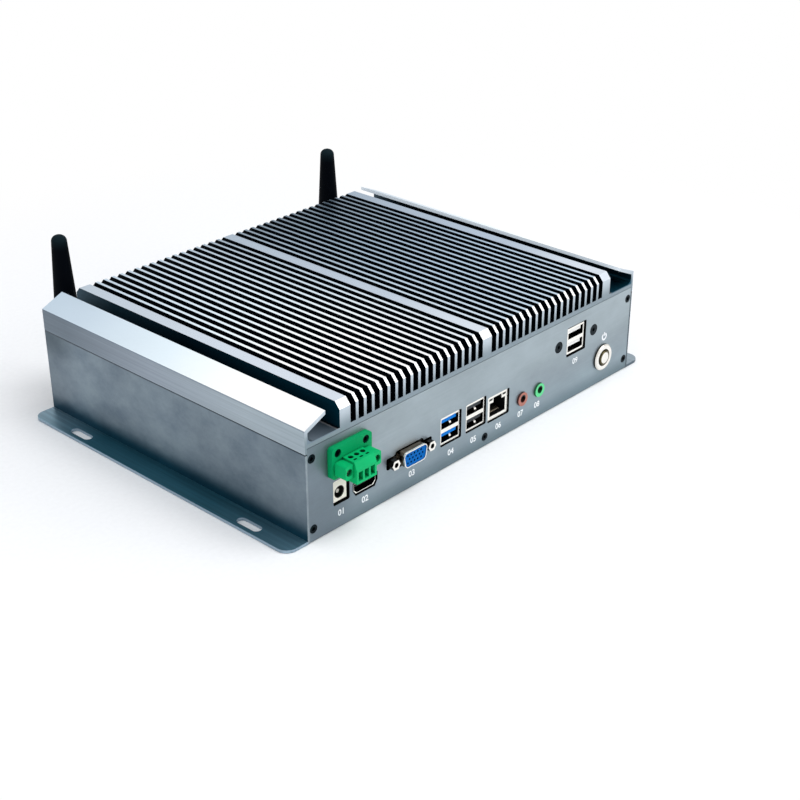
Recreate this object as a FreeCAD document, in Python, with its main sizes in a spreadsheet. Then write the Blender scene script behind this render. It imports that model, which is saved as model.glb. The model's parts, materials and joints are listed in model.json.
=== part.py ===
import FreeCAD, Part
import math
import os
import re
import Sketcher

# Fanless industrial computer, in millimetres.
# Every piece is drawn in the corner frame: x runs right from the left side wall, y runs
# back from the front panel's face and z runs up from the underside of the bottom plate.
# The last step of each piece moves it to the shared frame, whose origin is the middle of
# the underside, with the front panel facing -y.

V = FreeCAD.Vector
doc = FreeCAD.newDocument("industrial_pc")
sheet = doc.addObject("Spreadsheet::Sheet", "Sizes")

SIZES = [
    # case
    ("body_width", 245, "side wall to side wall, outside"),
    ("body_depth", 191, "front panel face to rear panel face"),
    ("ear_reach", 13, "how far each mounting ear stands out"),
    ("ear_corner", 6, "corner radius of the ears"),
    ("plate_thick", 1.5, "bottom plate and ears"),
    ("wall_thick", 1.2, "side wall web"),
    ("panel_thick", 2.0, "front and rear panel"),
    ("panel_low", 0.3, "lower edge of the panels above the underside"),
    ("panel_top_gap", 0.25, "dark line between a panel and the cover"),
    ("fit_gap", 0.05, "clearance between seated pieces"),
    ("seam_height", 45.7, "lower edge of the cover's skirt"),
    ("seam_gap", 0.2, "dark line between skirt and side wall"),
    ("cover_under", 48.4, "underside of the cover's base"),
    ("base_thick", 2.4, "thickness of the cover's base"),
    # side lips of the cover
    ("bevel_start", 57.4, "height where the outer bevel starts"),
    ("lip_top", 62.8, "height of the lip's inner top edge"),
    ("lip_reach", 12.8, "how far the lip leans inward"),
    ("lip_nose", 1.9, "height of the lip's blunt nose"),
    ("lip_wall", 1.8, "thickness of the upright side of the lip"),
    ("lip_root", 55.9, "height where the lip leaves its upright side"),
    ("lip_round", 3.3, "inner radius at the foot of the lip"),
    # fins
    ("fin_top", 63, "height of fins and ribs"),
    ("fin_thick", 1.7, "thin fin"),
    ("fin_count", 17, "thin fins between two ribs"),
    ("rib_thick", 6.7, "thick rib"),
    ("rib_inset", 21.5, "outer face of the outer rib from the side"),
    ("rib_count", 3, "thick ribs"),
    ("fin_end_run", 2.8, "length of the sloped fin end"),
    ("fin_end_drop", 3.3, "height of the sloped fin end"),
    # wall details
    ("foot_width", 9, "inward foot of the side wall"),
    ("flange_reach", 13, "inward top flange of the side wall"),
    ("flange_thick", 2, "foot and flange thickness"),
    ("channel_radius", 2.9, "outside of a screw channel"),
    ("channel_slot", 1.2, "opening along a screw channel"),
    # case screws
    ("screw_head_radius", 2.2, "sunk screw head"),
    ("head_sunk", 0.05, "screw head below its face, and seat below the head"),
    ("screw_head_depth", 1.2, "height of a panel screw's head"),
    ("case_head_depth", 1.0, "height of a case screw's head"),
    ("screw_radius", 1.25, "screw shank"),
    ("screw_length", 9, "panel screw length under the head"),
    ("case_screw_length", 2.4, "case screw length under the head"),
    ("socket_across", 2.0, "hexagon socket across flats"),
    ("hole_gap", 0.06, "radial clearance of a screw in its hole"),
    ("panel_screw_inset", 3.7, "panel screw from the side"),
    ("panel_screw_low", 6.5, "lower panel screws"),
    ("panel_screw_high", 42.4, "upper panel screws"),
    ("middle_screw_height", 5.4, "screw at the middle of the lower edge"),
    ("tab_width", 12, "folded tab behind the middle screw"),
    ("tab_height", 10, "folded tab height"),
    ("cover_screw_inset", 10, "cover screw from the side"),
    ("foot_screw_inset", 6, "bottom screw from the side"),
    ("case_screw_end", 28, "first case screw from either end"),
    # slots in the ears
    ("slot_reach", 8.1, "slot centre outside the side wall"),
    ("slot_front", 30, "front slot centre from the front"),
    ("slot_rear", 35, "rear slot centre from the rear"),
    ("slot_width", 5, "slot width"),
    ("slot_length", 15, "slot length, end to end"),
    # terminal block
    ("terminal_x", 25.9, "middle of the terminal block"),
    ("terminal_pitch", 3.81, "between two ways"),
    ("terminal_face_width", 25.3, "flange on the panel"),
    ("terminal_face_low", 28.2, "lower edge of the flange"),
    ("terminal_face_high", 44.0, "upper edge of the flange"),
    ("terminal_face_thick", 3.0, "flange thickness"),
    ("terminal_screw_reach", 8.9, "screws either side of the middle"),
    ("terminal_screw_high", 40.9, "flange screws"),
    ("flange_head_radius", 1.8, "flange screw head"),
    ("flange_head_depth", 1.2, "flange screw head"),
    ("flange_head_sunk", 0.5, "flange screw head below the flange's face"),
    ("terminal_lock_height", 33.6, "plug retaining screws"),
    ("plug_width", 12.6, "plug body"),
    ("plug_low", 27.2, "plug underside"),
    ("plug_high", 38.0, "plug top"),
    ("plug_front", 12, "plug front face before the panel"),
    ("plug_slope_low", 34.2, "where the sloped face starts"),
    ("plug_slope_run", 1.5, "depth of the sloped face"),
    ("ear_front", 10, "front of the plug's ears before the panel"),
    ("plug_ear_width", 22.6, "across the plug's ears"),
    ("plug_ear_low", 30.2, "underside of the plug's ears"),
    ("plug_ear_high", 37.0, "top of the plug's ears"),
    ("plug_way_width", 2.7, "wire entry width"),
    ("plug_way_low", 28.4, "wire entry lower edge"),
    ("plug_way_high", 33.0, "wire entry upper edge"),
    ("tongue_low", 30.0, "underside of the plug's tongue"),
    ("tongue_high", 36.6, "top of the plug's tongue"),
    ("tongue_inset", 0.6, "tongue side in from the plug body's side"),
    ("tongue_gap", 0.2, "clearance around the tongue"),
    ("clamp_front", 5.7, "clamp screws before the panel"),
    ("clamp_radius", 1.2, "clamp screw"),
    ("notch_front", 8.6, "notches before the panel"),
    # ports of the mainboard
    ("dc_x", 21.0, "middle of the supply jack"),
    ("dc_low", 13.6, "underside of the supply jack"),
    ("dc_width", 9, "supply jack width"),
    ("dc_height", 11, "supply jack height"),
    ("dc_bore", 3.1, "supply jack bore radius"),
    ("hdmi_x", 37.0, "middle of the flat video port"),
    ("hdmi_z", 15.3, "middle of the flat video port"),
    ("hdmi_width", 15.0, "mouth width"),
    ("hdmi_height", 5.8, "mouth height"),
    ("hdmi_set_back", 0.5, "shell behind the panel's face"),
    ("hdmi_margin", 0.7, "cut-out around the shell"),
    ("vga_x", 66.9, "middle of the D video port"),
    ("vga_z", 19.1, "middle of the D video port"),
    ("vga_row", 1.98, "between contact rows of the D video port"),
    ("vga_pitch", 2.29, "between contacts of the D video port"),
    ("usb_a_x", 96.65, "middle of the first USB stack"),
    ("usb_b_x", 115.4, "middle of the second USB stack"),
    ("usb_z", 20.7, "middle of both stacks"),
    ("usb_width", 14.3, "stack width"),
    ("usb_height", 14.6, "stack height"),
    ("usb_margin", 0.5, "cut-out around a stack"),
    ("usb_mouth_width", 12.5, "mouth of one port"),
    ("usb_mouth_height", 5.2, "mouth of one port"),
    ("usb_tongue_width", 11, "tongue of one port"),
    ("usb_tongue_thick", 1.85, "tongue of one port"),
    ("port_set_back", 0.8, "front of the ports behind the panel's face"),
    ("panel_usb_margin", 1.0, "cut-out around a screwed stack"),
    ("lan_x", 132.8, "middle of the network socket"),
    ("lan_z", 19.1, "middle of the network socket"),
    ("lan_width", 15.8, "network socket width"),
    ("lan_height", 13.0, "network socket height"),
    ("lan_mouth_half", 6.0, "half of the plug opening's width"),
    ("lan_mouth_high", 2.8, "plug opening above the middle"),
    ("lan_mouth_low", 4.7, "plug opening below the middle"),
    ("lan_notch_half", 3.2, "half of the latch notch's width"),
    ("lan_notch_high", 5.3, "top of the latch notch above the middle"),
    ("lan_light_x", 5.15, "light window from the middle"),
    ("lan_light_z", 4.7, "light window above the middle"),
    ("lan_light_width", 2.6, "light window"),
    ("lan_light_height", 1.1, "light window"),
    ("mic_x", 151.4, "first audio socket"),
    ("line_x", 165.3, "second audio socket"),
    ("audio_z", 15.8, "audio socket height"),
    ("audio_radius", 3.7, "audio socket ring"),
    ("audio_bore", 1.8, "audio socket bore"),
    # right side of the front panel
    ("front_usb_u", 48.9, "screwed stack, from the right side wall"),
    ("front_usb_z", 34.2, "screwed stack, front"),
    ("usb_screw_reach", 15.1, "screws either side of a screwed stack"),
    ("usb_head_radius", 3.1, "sunk head of those screws"),
    ("usb_screw_length", 5.7, "length of those screws under the head"),
    ("button_u", 24.35, "power button, from the right side wall"),
    ("button_z", 14.95, "power button"),
    ("button_bezel", 7.4, "bezel radius"),
    ("button_body", 5.9, "threaded body radius"),
    ("button_cap", 4.0, "cap radius"),
    ("button_travel", 1.5, "how far the cap moves"),
    # rear panel, x measured from the right side wall, which is left as seen from behind
    ("rear_usb_u", 30.2, "screwed stack, rear"),
    ("rear_usb_z", 15.8, "screwed stack, rear"),
    ("serial_first_u", 66.0, "first serial port"),
    ("serial_pitch", 37.05, "between serial ports"),
    ("serial_high", 39.0, "upper row"),
    ("serial_low", 23.8, "lower row"),
    ("antenna_right_u", 25.9, "antenna socket near the right side wall"),
    ("antenna_left_x", 24.7, "antenna socket near the left side wall, from that wall"),
    ("antenna_z", 34.2, "antenna sockets"),
    # D connectors
    ("d_half_width", 8.45, "half of the shell's wide side"),
    ("d_half_height", 4.15, "half of the shell's height"),
    ("d_slant", 1.45, "how far each end leans in"),
    ("d_wall", 0.45, "shell sheet"),
    ("d_corner", 2.3, "shell corner radius"),
    ("d_reach", 4.2, "shell in front of the panel"),
    ("d_flange_width", 30.8, "mounting flange"),
    ("d_flange_height", 12.5, "mounting flange"),
    ("d_flange_thick", 1.0, "mounting flange"),
    ("d_screw_reach", 12.5, "jackscrews either side of the middle"),
    ("d_panel_margin", 0.5, "cut-out around the shell"),
    ("jack_across", 4.75, "jackscrew across flats"),
    ("jack_reach", 3.4, "jackscrew in front of the panel"),
    ("jack_thread", 1.3, "jackscrew thread bore"),
    ("pin_radius", 0.5, "contact pin"),
    ("pin_pitch", 2.77, "between contact pins"),
    ("pin_row", 1.42, "pin row above and below the middle"),
    # antennas
    ("jack_radius", 3.1, "antenna socket thread"),
    ("ferrule_radius", 2.1, "elbow's neck in the coupling nut"),
    ("antenna_out", 15.5, "rod axis behind the rear panel"),
    ("elbow_side", 8, "square elbow block"),
    ("elbow_corner", 1.6, "corner bevel of the elbow"),
    ("rod_neck", 4.6, "rod radius at its neck"),
    ("rod_wide", 6.1, "largest rod radius"),
    ("rod_tip", 3.9, "rod radius near the tip"),
    ("rod_length", 52, "rod above the socket axis"),
    # inside
    ("board_x", 8, "mainboard left edge"),
    ("board_y", 2.6, "mainboard front edge"),
    ("board_side", 170, "mainboard width"),
    ("rear_room", 18.4, "behind the mainboard, up to the rear panel's face"),
    ("board_thick", 1.6, "circuit board"),
    ("board_top", 12.2, "upper face of the mainboard"),
    ("board_hole_inset", 6.35, "mounting hole from the board's edges"),
    ("cpu_x", 84, "middle of the processor"),
    ("cpu_rear", 80.6, "middle of the processor before the mainboard's rear edge"),
    ("pad_thick", 0.5, "thermal pad"),
    ("block_side", 62, "heat block side"),
    ("block_corner", 8, "bevelled corner of the heat block"),
    ("substrate_thick", 1.2, "processor carrier"),
    ("lid_thick", 1.6, "processor lid"),
    ("lead_radius", 0.65, "antenna lead"),
    ("bracket_rear", 25, "rear end of the drive bracket before the rear panel's face"),
    ("drive_margin", 0.1, "shelf beside the drive"),
    ("shelf_margin", 2, "shelf beside the right wall's foot"),
    ("leg_margin", 3, "inner leg beside the mainboard"),
    ("leg_foot", 10, "foot of a bracket leg"),
    ("shelf_overhang", 20, "shelf past its inner leg, over the mainboard"),
    ("bracket_top", 30, "upper face of the bracket's shelf"),
    ("bracket_length", 104, "bracket, front to back"),
    ("bracket_sheet", 1.2, "bracket sheet"),
    ("drive_width", 69.85, "drive across"),
    ("drive_length", 100, "drive, front to back"),
    ("drive_thick", 7, "drive height"),
]

for row, (alias, value, meaning) in enumerate(SIZES, start=1):
    sheet.set("A%d" % row, alias)
    sheet.set("B%d" % row, str(value))
    sheet.set("C%d" % row, meaning)
    sheet.setAlias("B%d" % row, alias)
doc.recompute()

ALIASES = {alias for alias, _, _ in SIZES}
NODES = {}
PLANE_ROLE = {"XY": "XY_Plane", "XZ": "XZ_Plane", "YZ": "YZ_Plane"}
SMALL = 1e-4


# Expressions


def linked(text):
    """The same formula with each size's name pointing at the sheet."""
    def point(match):
        word = match.group(0)
        return "Sizes." + word if word in ALIASES else word
    return re.sub(r"[a-z][a-z_0-9]*", point, str(text))


def bind(thing, prop, text):
    thing.setExpression(prop, linked(text))


def number(text):
    return float(sheet.evalExpression(linked(text)))


def plus(*texts):
    return " + ".join("(%s)" % text for text in texts)


def minus(first, second):
    return "(%s) - (%s)" % (first, second)


def from_right(text):
    """A place measured from the right side wall."""
    return minus("body_width", text)


# Sketches and features. A feature starts at its sketch's plane and goes to the plus side.


def new_body(label):
    body = doc.addObject("PartDesign::Body", label)
    body.Label = label
    return body


def origin_part(body, role):
    return [item for item in body.Origin.OriginFeatures if item.Role == role][0]


def sketch(body, name, plane, at="0"):
    item = body.newObject("Sketcher::SketchObject", name)
    item.AttachmentSupport = (origin_part(body, PLANE_ROLE[plane]), [""])
    item.MapMode = "FlatFace"
    sign = "-1" if plane == "XZ" else "1"
    bind(item, "AttachmentOffset.Base.z", "%s * (%s)" % (sign, at))
    item.addProperty("App::PropertyString", "Facing")
    item.Facing = plane
    return item


def hold_point(item, geometry, point, x, y):
    for kind, text in (("DistanceX", x), ("DistanceY", y)):
        index = item.addConstraint(Sketcher.Constraint(kind, -1, 1, geometry, point, number(text)))
        bind(item, "Constraints[%d]" % index, text)


def outline(item, points):
    """A closed outline of straight lines, with every corner held by its own two formulas."""
    corners = [V(number(x), number(y), 0) for x, y in points]
    count = len(corners)
    first = item.GeometryCount
    for index in range(count):
        item.addGeometry(Part.LineSegment(corners[index], corners[(index + 1) % count]), False)
    joints = []
    for index in range(count):
        after = first + (index + 1) % count
        joints.append(Sketcher.Constraint("Coincident", first + index, 2, after, 1))
    item.addConstraint(joints)
    for index, (x, y) in enumerate(points):
        hold_point(item, first + index, 1, x, y)


def circle(item, x, y, radius):
    centre = V(number(x), number(y), 0)
    index = item.addGeometry(Part.Circle(centre, V(0, 0, 1), number(radius)), False)
    hold_point(item, index, 3, x, y)
    held = item.addConstraint(Sketcher.Constraint("Radius", index, number(radius)))
    bind(item, "Constraints[%d]" % held, radius)


def rectangle(x0, x1, y0, y1):
    return [(x0, y0), (x1, y0), (x1, y1), (x0, y1)]


def around(x, y, half_width, half_height):
    return rectangle(minus(x, half_width), plus(x, half_width), minus(y, half_height), plus(y, half_height))


def hexagon(x, y, across):
    points = []
    for step in range(6):
        angle = math.radians(60 * step)
        far = "(%s) / %.9f" % (across, math.sqrt(3))
        corner_x = plus(x, "%s * %.9f" % (far, math.cos(angle)))
        corner_y = plus(y, "%s * %.9f" % (far, math.sin(angle)))
        points.append((corner_x, corner_y))
    return points


def d_outline(x, z, grow="0"):
    """The outline of a D connector, wide side up, grown by a margin."""
    top = plus("d_half_width", grow)
    low = minus(top, "d_slant")
    half = plus("d_half_height", grow)
    return [
        (minus(x, low), minus(z, half)),
        (plus(x, low), minus(z, half)),
        (plus(x, top), plus(z, half)),
        (minus(x, top), plus(z, half)),
    ]


def pad(body, item, length):
    feature = body.newObject("PartDesign::Pad", item.Name + "_pad")
    feature.Profile = item
    feature.Reversed = item.Facing == "XZ"
    bind(feature, "Length", length)
    item.Visibility = False
    doc.recompute()
    return feature


def pocket(body, item, length):
    before = body.Shape.Volume
    feature = body.newObject("PartDesign::Pocket", item.Name + "_pocket")
    feature.Profile = item
    feature.Reversed = item.Facing != "XZ"
    bind(feature, "Length", length)
    item.Visibility = False
    doc.recompute()
    if not body.Shape.Volume < before - SMALL:
        raise RuntimeError(item.Name + " removes nothing")
    return feature


def revolve(body, item):
    feature = body.newObject("PartDesign::Revolution", item.Name + "_turn")
    feature.Profile = item
    feature.ReferenceAxis = (item, ["V_Axis"])
    feature.Angle = 360
    item.Visibility = False
    doc.recompute()
    return feature


def repeat_x(body, feature, count, length):
    rows = body.newObject("PartDesign::LinearPattern", feature.Name + "_row")
    rows.Originals = [feature]
    rows.Direction = (origin_part(body, "X_Axis"), [""])
    bind(rows, "Length", length)
    bind(rows, "Occurrences", count)
    body.Tip = rows
    doc.recompute()
    return rows


def edges_along(body, direction, chosen):
    names = []
    for index, edge in enumerate(body.Shape.Edges, start=1):
        if not isinstance(edge.Curve, Part.Line):
            continue
        along = abs(edge.tangentAt(edge.FirstParameter).dot(direction)) > 0.999
        if along and chosen(edge.CenterOfMass):
            names.append("Edge%d" % index)
    return names


def round_edges(body, direction, radius, chosen):
    names = edges_along(body, direction, chosen)
    base = body.Tip
    feature = body.newObject("PartDesign::Fillet", body.Name + "_round")
    feature.Base = (base, names)
    bind(feature, "Radius", radius)
    body.Tip = feature
    doc.recompute()
    return feature


def bevel_edges(body, direction, size, chosen):
    names = edges_along(body, direction, chosen)
    base = body.Tip
    feature = body.newObject("PartDesign::Chamfer", body.Name + "_bevel")
    feature.Base = (base, names)
    bind(feature, "Size", size)
    body.Tip = feature
    doc.recompute()
    return feature


# Placing the finished pieces


def settle(thing, x="0", y="0", z="0"):
    """Moves a finished piece from the corner frame to the shared frame."""
    bind(thing, "Placement.Base.x", minus(x, "body_width / 2"))
    bind(thing, "Placement.Base.y", minus(y, "body_depth / 2"))
    bind(thing, "Placement.Base.z", z)


def keep(label, thing, x="0", y="0", z="0"):
    settle(thing, x, y, z)
    thing.Label = label
    NODES[label] = thing


def moved(master, place):
    shape = master.Shape.copy()
    shape.Placement = place.multiply(shape.Placement)
    return shape


FACING = {"forward": FreeCAD.Rotation(), "backward": FreeCAD.Rotation(V(0, 0, 1), 180)}


def group(label, master, places):
    """Separate copies of one piece; a place is x, y, z and the side that the copy faces."""
    shapes = []
    for x, y, z, facing in places:
        spot = V(number(x), number(y), number(z))
        shapes.append(moved(master, FreeCAD.Placement(spot, FACING[facing])))
    thing = doc.addObject("Part::Feature", label + "_group")
    thing.Shape = Part.makeCompound(shapes)
    keep(label, thing)
    return thing


# Primitives, for the pieces that are plain blocks and rods joined together


def block(name, corner, size):
    """A box; the corner holds its low x, y and z, the size its length along each of them."""
    item = doc.addObject("Part::Box", name)
    for side, text in zip(("x", "y", "z"), corner):
        bind(item, "Placement.Base." + side, text)
    for prop, text in zip(("Length", "Width", "Height"), size):
        bind(item, prop, text)
    return item


def round_bar(name, centre, radius, length, axis="z"):
    item = doc.addObject("Part::Cylinder", name)
    turns = {"x": (V(0, 1, 0), 90), "y": (V(1, 0, 0), -90), "z": (V(0, 0, 1), 0)}
    item.Placement = FreeCAD.Placement(V(0, 0, 0), FreeCAD.Rotation(*turns[axis]))
    for side, text in zip(("x", "y", "z"), centre):
        bind(item, "Placement.Base." + side, text)
    bind(item, "Radius", radius)
    bind(item, "Height", length)
    return item


def fuse(name, *items):
    joined = doc.addObject("Part::MultiFuse", name)
    joined.Shapes = list(items)
    return joined


def cut(name, base, *tools):
    result = doc.addObject("Part::Cut", name)
    result.Base = base
    result.Tool = tools[0] if len(tools) == 1 else fuse(name + "_tools", *tools)
    return result


def loose(name, *items):
    held = doc.addObject("Part::Compound", name)
    held.Links = list(items)
    return held


# Shared places


FLOOR = plus("cover_under", "base_thick")
PANEL_BACK = plus("panel_thick", "fit_gap")
REAR_BACK = minus("body_depth", PANEL_BACK)
INNER_LENGTH = "body_depth - 2 * (%s)" % PANEL_BACK
HOLE = plus("screw_radius", "hole_gap")
SUNK = plus("screw_head_radius", "hole_gap")
USB_SUNK = plus("usb_head_radius", "hole_gap")
PANEL_SINK = "(screw_head_depth + 2 * head_sunk)"
CASE_SINK = "(case_head_depth + 2 * head_sunk)"
CORNERS = [
    (x, z)
    for x in ("panel_screw_inset", from_right("panel_screw_inset"))
    for z in ("panel_screw_low", "panel_screw_high")
]
PANEL_SCREWS = CORNERS + [("body_width / 2", "middle_screw_height")]
CASE_SCREW_YS = ["case_screw_end", "body_depth / 2", "body_depth - case_screw_end"]
BOARD_REAR = "(body_depth - rear_room)"
CPU_Y = "(%s - cpu_rear)" % BOARD_REAR


# Heatsink cover: one extrusion with leaning side lips, then ribs and rows of fins


cover = new_body("heatsink_cover")
section = sketch(cover, "cover_section", "XZ")
left_side = [
    ("wall_thick", "cover_under"),
    ("wall_thick", "seam_height"),
    ("0", "seam_height"),
    ("0", "bevel_start"),
    ("lip_reach", "lip_top"),
    ("lip_reach", "lip_top - lip_nose"),
    ("lip_wall", "lip_root"),
    ("lip_wall", FLOOR),
]
right_side = [(from_right(x), z) for x, z in reversed(left_side)]
outline(section, left_side + right_side)
pad(cover, section, "body_depth")


def at_lip_foot(point):
    near_left = abs(point.x - number("lip_wall")) < 0.1
    near_right = abs(point.x - number(from_right("lip_wall"))) < 0.1
    return (near_left or near_right) and abs(point.z - number(FLOOR)) < 0.1


round_edges(cover, V(0, 1, 0), "lip_round", at_lip_foot)


def fin(name, at, thickness):
    side = sketch(cover, name, "YZ", at)
    outline(side, [
        ("0", FLOOR),
        ("body_depth", FLOOR),
        ("body_depth", "fin_top - fin_end_drop"),
        ("body_depth - fin_end_run", "fin_top"),
        ("fin_end_run", "fin_top"),
        ("0", "fin_top - fin_end_drop"),
    ])
    return pad(cover, side, thickness)


HALF_BAY = "body_width / 2 - rib_thick / 2 - rib_inset - rib_thick"
FIN_PITCH = "(%s + fin_thick) / (fin_count + 1)" % HALF_BAY
rib = fin("rib", "rib_inset", "rib_thick")
repeat_x(cover, rib, "rib_count", "body_width - 2 * rib_inset - rib_thick")
FIN_STARTS = [
    ("left_fin", "rib_inset + rib_thick"),
    ("right_fin", "body_width / 2 + rib_thick / 2"),
]
for name, rib_end in FIN_STARTS:
    first_fin = fin(name, "%s + %s - fin_thick" % (rib_end, FIN_PITCH), "fin_thick")
    repeat_x(cover, first_fin, "fin_count", "%s * (fin_count - 1)" % FIN_PITCH)

cover_holes = sketch(cover, "cover_holes", "XY", "cover_under")
for x in ("cover_screw_inset", from_right("cover_screw_inset")):
    for y in CASE_SCREW_YS:
        circle(cover_holes, x, y, HOLE)
pocket(cover, cover_holes, "base_thick - 0.4")
keep("heatsink_cover", cover)


# Side walls: a web with screw channels, an inward foot and an inward top flange


def side_wall(label, across):
    """One wall; across turns a place on the left wall into the same place on this one."""
    wall = new_body(label)

    def mirrored(points):
        return [(across(x), z) for x, z in points]

    web = sketch(wall, label + "_web", "XZ")
    outline(web, mirrored(rectangle("0", "wall_thick", "plate_thick", "seam_height - seam_gap")))
    pad(wall, web, "body_depth")

    channels = sketch(wall, label + "_channels", "XZ", PANEL_BACK)
    for height in ("panel_screw_low", "panel_screw_high"):
        circle(channels, across("panel_screw_inset"), height, "channel_radius")
    pad(wall, channels, INNER_LENGTH)

    foot = sketch(wall, label + "_foot", "XZ", PANEL_BACK)
    outline(foot, mirrored(rectangle(
        "wall_thick", "foot_width", "plate_thick", "plate_thick + flange_thick")))
    pad(wall, foot, INNER_LENGTH)

    flange_high = "cover_under - fit_gap"
    riser_in = plus("wall_thick", "2 * fit_gap")
    riser_out = plus(riser_in, "wall_thick")
    flange = sketch(wall, label + "_flange", "XZ", PANEL_BACK)
    outline(flange, mirrored([
        ("wall_thick", "panel_screw_high"),
        ("wall_thick", "seam_height - seam_gap"),
        (riser_in, "seam_height - seam_gap"),
        (riser_in, flange_high),
        ("flange_reach", flange_high),
        ("flange_reach", flange_high + " - flange_thick"),
        (riser_out, flange_high + " - flange_thick"),
        (riser_out, "panel_screw_high"),
    ]))
    pad(wall, flange, INNER_LENGTH)

    bores = sketch(wall, label + "_bores", "XZ", PANEL_BACK)
    slots = sketch(wall, label + "_channel_slots", "XZ", PANEL_BACK)
    for height in ("panel_screw_low", "panel_screw_high"):
        circle(bores, across("panel_screw_inset"), height, HOLE)
        slot_end = plus("panel_screw_inset", "channel_radius", "0.5")
        slot_low = minus(height, "channel_slot / 2")
        slot_high = plus(height, "channel_slot / 2")
        outline(slots, mirrored(rectangle("panel_screw_inset", slot_end, slot_low, slot_high)))
    pocket(wall, bores, INNER_LENGTH)
    pocket(wall, slots, INNER_LENGTH)

    foot_holes = sketch(wall, label + "_foot_holes", "XY", "plate_thick")
    flange_holes = sketch(wall, label + "_flange_holes", "XY", flange_high + " - flange_thick")
    flange_sinks = sketch(wall, label + "_flange_sinks", "XY", flange_high + " - flange_thick")
    for y in CASE_SCREW_YS:
        circle(foot_holes, across("foot_screw_inset"), y, HOLE)
        circle(flange_holes, across("cover_screw_inset"), y, HOLE)
        circle(flange_sinks, across("cover_screw_inset"), y, SUNK)
    pocket(wall, foot_holes, "flange_thick")
    pocket(wall, flange_holes, "flange_thick")
    pocket(wall, flange_sinks, CASE_SINK)
    keep(label, wall)


side_wall("side_wall_left", lambda x: x)
side_wall("side_wall_right", from_right)


# Bottom plate with slotted ears


plate = new_body("bottom_plate")
sheet_outline = sketch(plate, "plate_outline", "XY")
outline(sheet_outline, [
    ("-1 * ear_reach", "0"),
    ("wall_thick", "0"),
    ("wall_thick", PANEL_BACK),
    (from_right("wall_thick"), PANEL_BACK),
    (from_right("wall_thick"), "0"),
    ("body_width + ear_reach", "0"),
    ("body_width + ear_reach", "body_depth"),
    (from_right("wall_thick"), "body_depth"),
    (from_right("wall_thick"), REAR_BACK),
    ("wall_thick", REAR_BACK),
    ("wall_thick", "body_depth"),
    ("-1 * ear_reach", "body_depth"),
])
pad(plate, sheet_outline, "plate_thick")
round_edges(plate, V(0, 0, 1), "ear_corner", lambda p: p.x < -1 or p.x > number("body_width") + 1)

slot_middles = sketch(plate, "slot_middles", "XY")
slot_fronts = sketch(plate, "slot_fronts", "XY")
slot_backs = sketch(plate, "slot_backs", "XY")
SLOT_HALF = "(slot_length - slot_width) / 2"
for x in ("-1 * slot_reach", "body_width + slot_reach"):
    for y in ("slot_front", "body_depth - slot_rear"):
        outline(slot_middles, around(x, y, "slot_width / 2", SLOT_HALF))
        circle(slot_fronts, x, minus(y, SLOT_HALF), "slot_width / 2")
        circle(slot_backs, x, plus(y, SLOT_HALF), "slot_width / 2")
for item in (slot_middles, slot_fronts, slot_backs):
    pocket(plate, item, "plate_thick")

plate_holes = sketch(plate, "plate_holes", "XY")
plate_sinks = sketch(plate, "plate_sinks", "XY")
for x in ("foot_screw_inset", from_right("foot_screw_inset")):
    for y in CASE_SCREW_YS:
        circle(plate_holes, x, y, HOLE)
        circle(plate_sinks, x, y, SUNK)
pocket(plate, plate_holes, "plate_thick")
pocket(plate, plate_sinks, CASE_SINK)

for name, at in (("front_tab", PANEL_BACK), ("rear_tab", minus(REAR_BACK, "plate_thick"))):
    tab = sketch(plate, name, "XZ", at)
    outline(tab, rectangle(
        "body_width / 2 - tab_width / 2", "body_width / 2 + tab_width / 2", "0", "tab_height"))
    pad(plate, tab, "plate_thick")
    tab_hole = sketch(plate, name + "_hole", "XZ", at)
    circle(tab_hole, "body_width / 2", "middle_screw_height", HOLE)
    pocket(plate, tab_hole, "plate_thick")
keep("bottom_plate", plate)


# Panels


def beside_usb(x):
    """Where the two screws of a screwed stack are."""
    return [minus(x, "usb_screw_reach"), plus(x, "usb_screw_reach")]


def panel_blank(label, at, face_first, usb_x, usb_z):
    """A flat panel between the side walls, with its sunk screw holes."""
    panel = new_body(label)
    blank = sketch(panel, label + "_blank", "XZ", at)
    side = plus("wall_thick", "fit_gap")
    outline(blank, rectangle(side, from_right(side), "panel_low", "cover_under - panel_top_gap"))
    pad(panel, blank, "panel_thick")
    holes = sketch(panel, label + "_screw_holes", "XZ", at)
    sink_at = at if face_first else plus(at, "panel_thick", "-1 * " + PANEL_SINK)
    sinks = sketch(panel, label + "_screw_sinks", "XZ", sink_at)
    sunk_heads = [(x, z, SUNK) for x, z in PANEL_SCREWS]
    sunk_heads += [(x, usb_z, USB_SUNK) for x in beside_usb(usb_x)]
    for x, z, radius in sunk_heads:
        circle(holes, x, z, HOLE)
        circle(sinks, x, z, radius)
    pocket(panel, holes, "panel_thick")
    pocket(panel, sinks, PANEL_SINK)
    return panel


def along_y(body, radius, spots):
    """Rounds the corner edges of the cut-outs around the given spots."""
    def near(point):
        for x, z, half_width, half_height in spots:
            inside_x = abs(point.x - number(x)) < number(half_width) + 0.3
            inside_z = abs(point.z - number(z)) < number(half_height) + 0.3
            if inside_x and inside_z:
                return True
        return False
    round_edges(body, V(0, 1, 0), radius, near)


DC_Z = plus("dc_low", "dc_height / 2")
FRONT_USB_X = from_right("front_usb_u")
BUTTON_X = from_right("button_u")
USB_CUT = ("usb_width / 2 + usb_margin", "usb_height / 2 + usb_margin")
PANEL_USB_CUT = ("usb_width / 2 + panel_usb_margin", "usb_height / 2 + panel_usb_margin")

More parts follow.
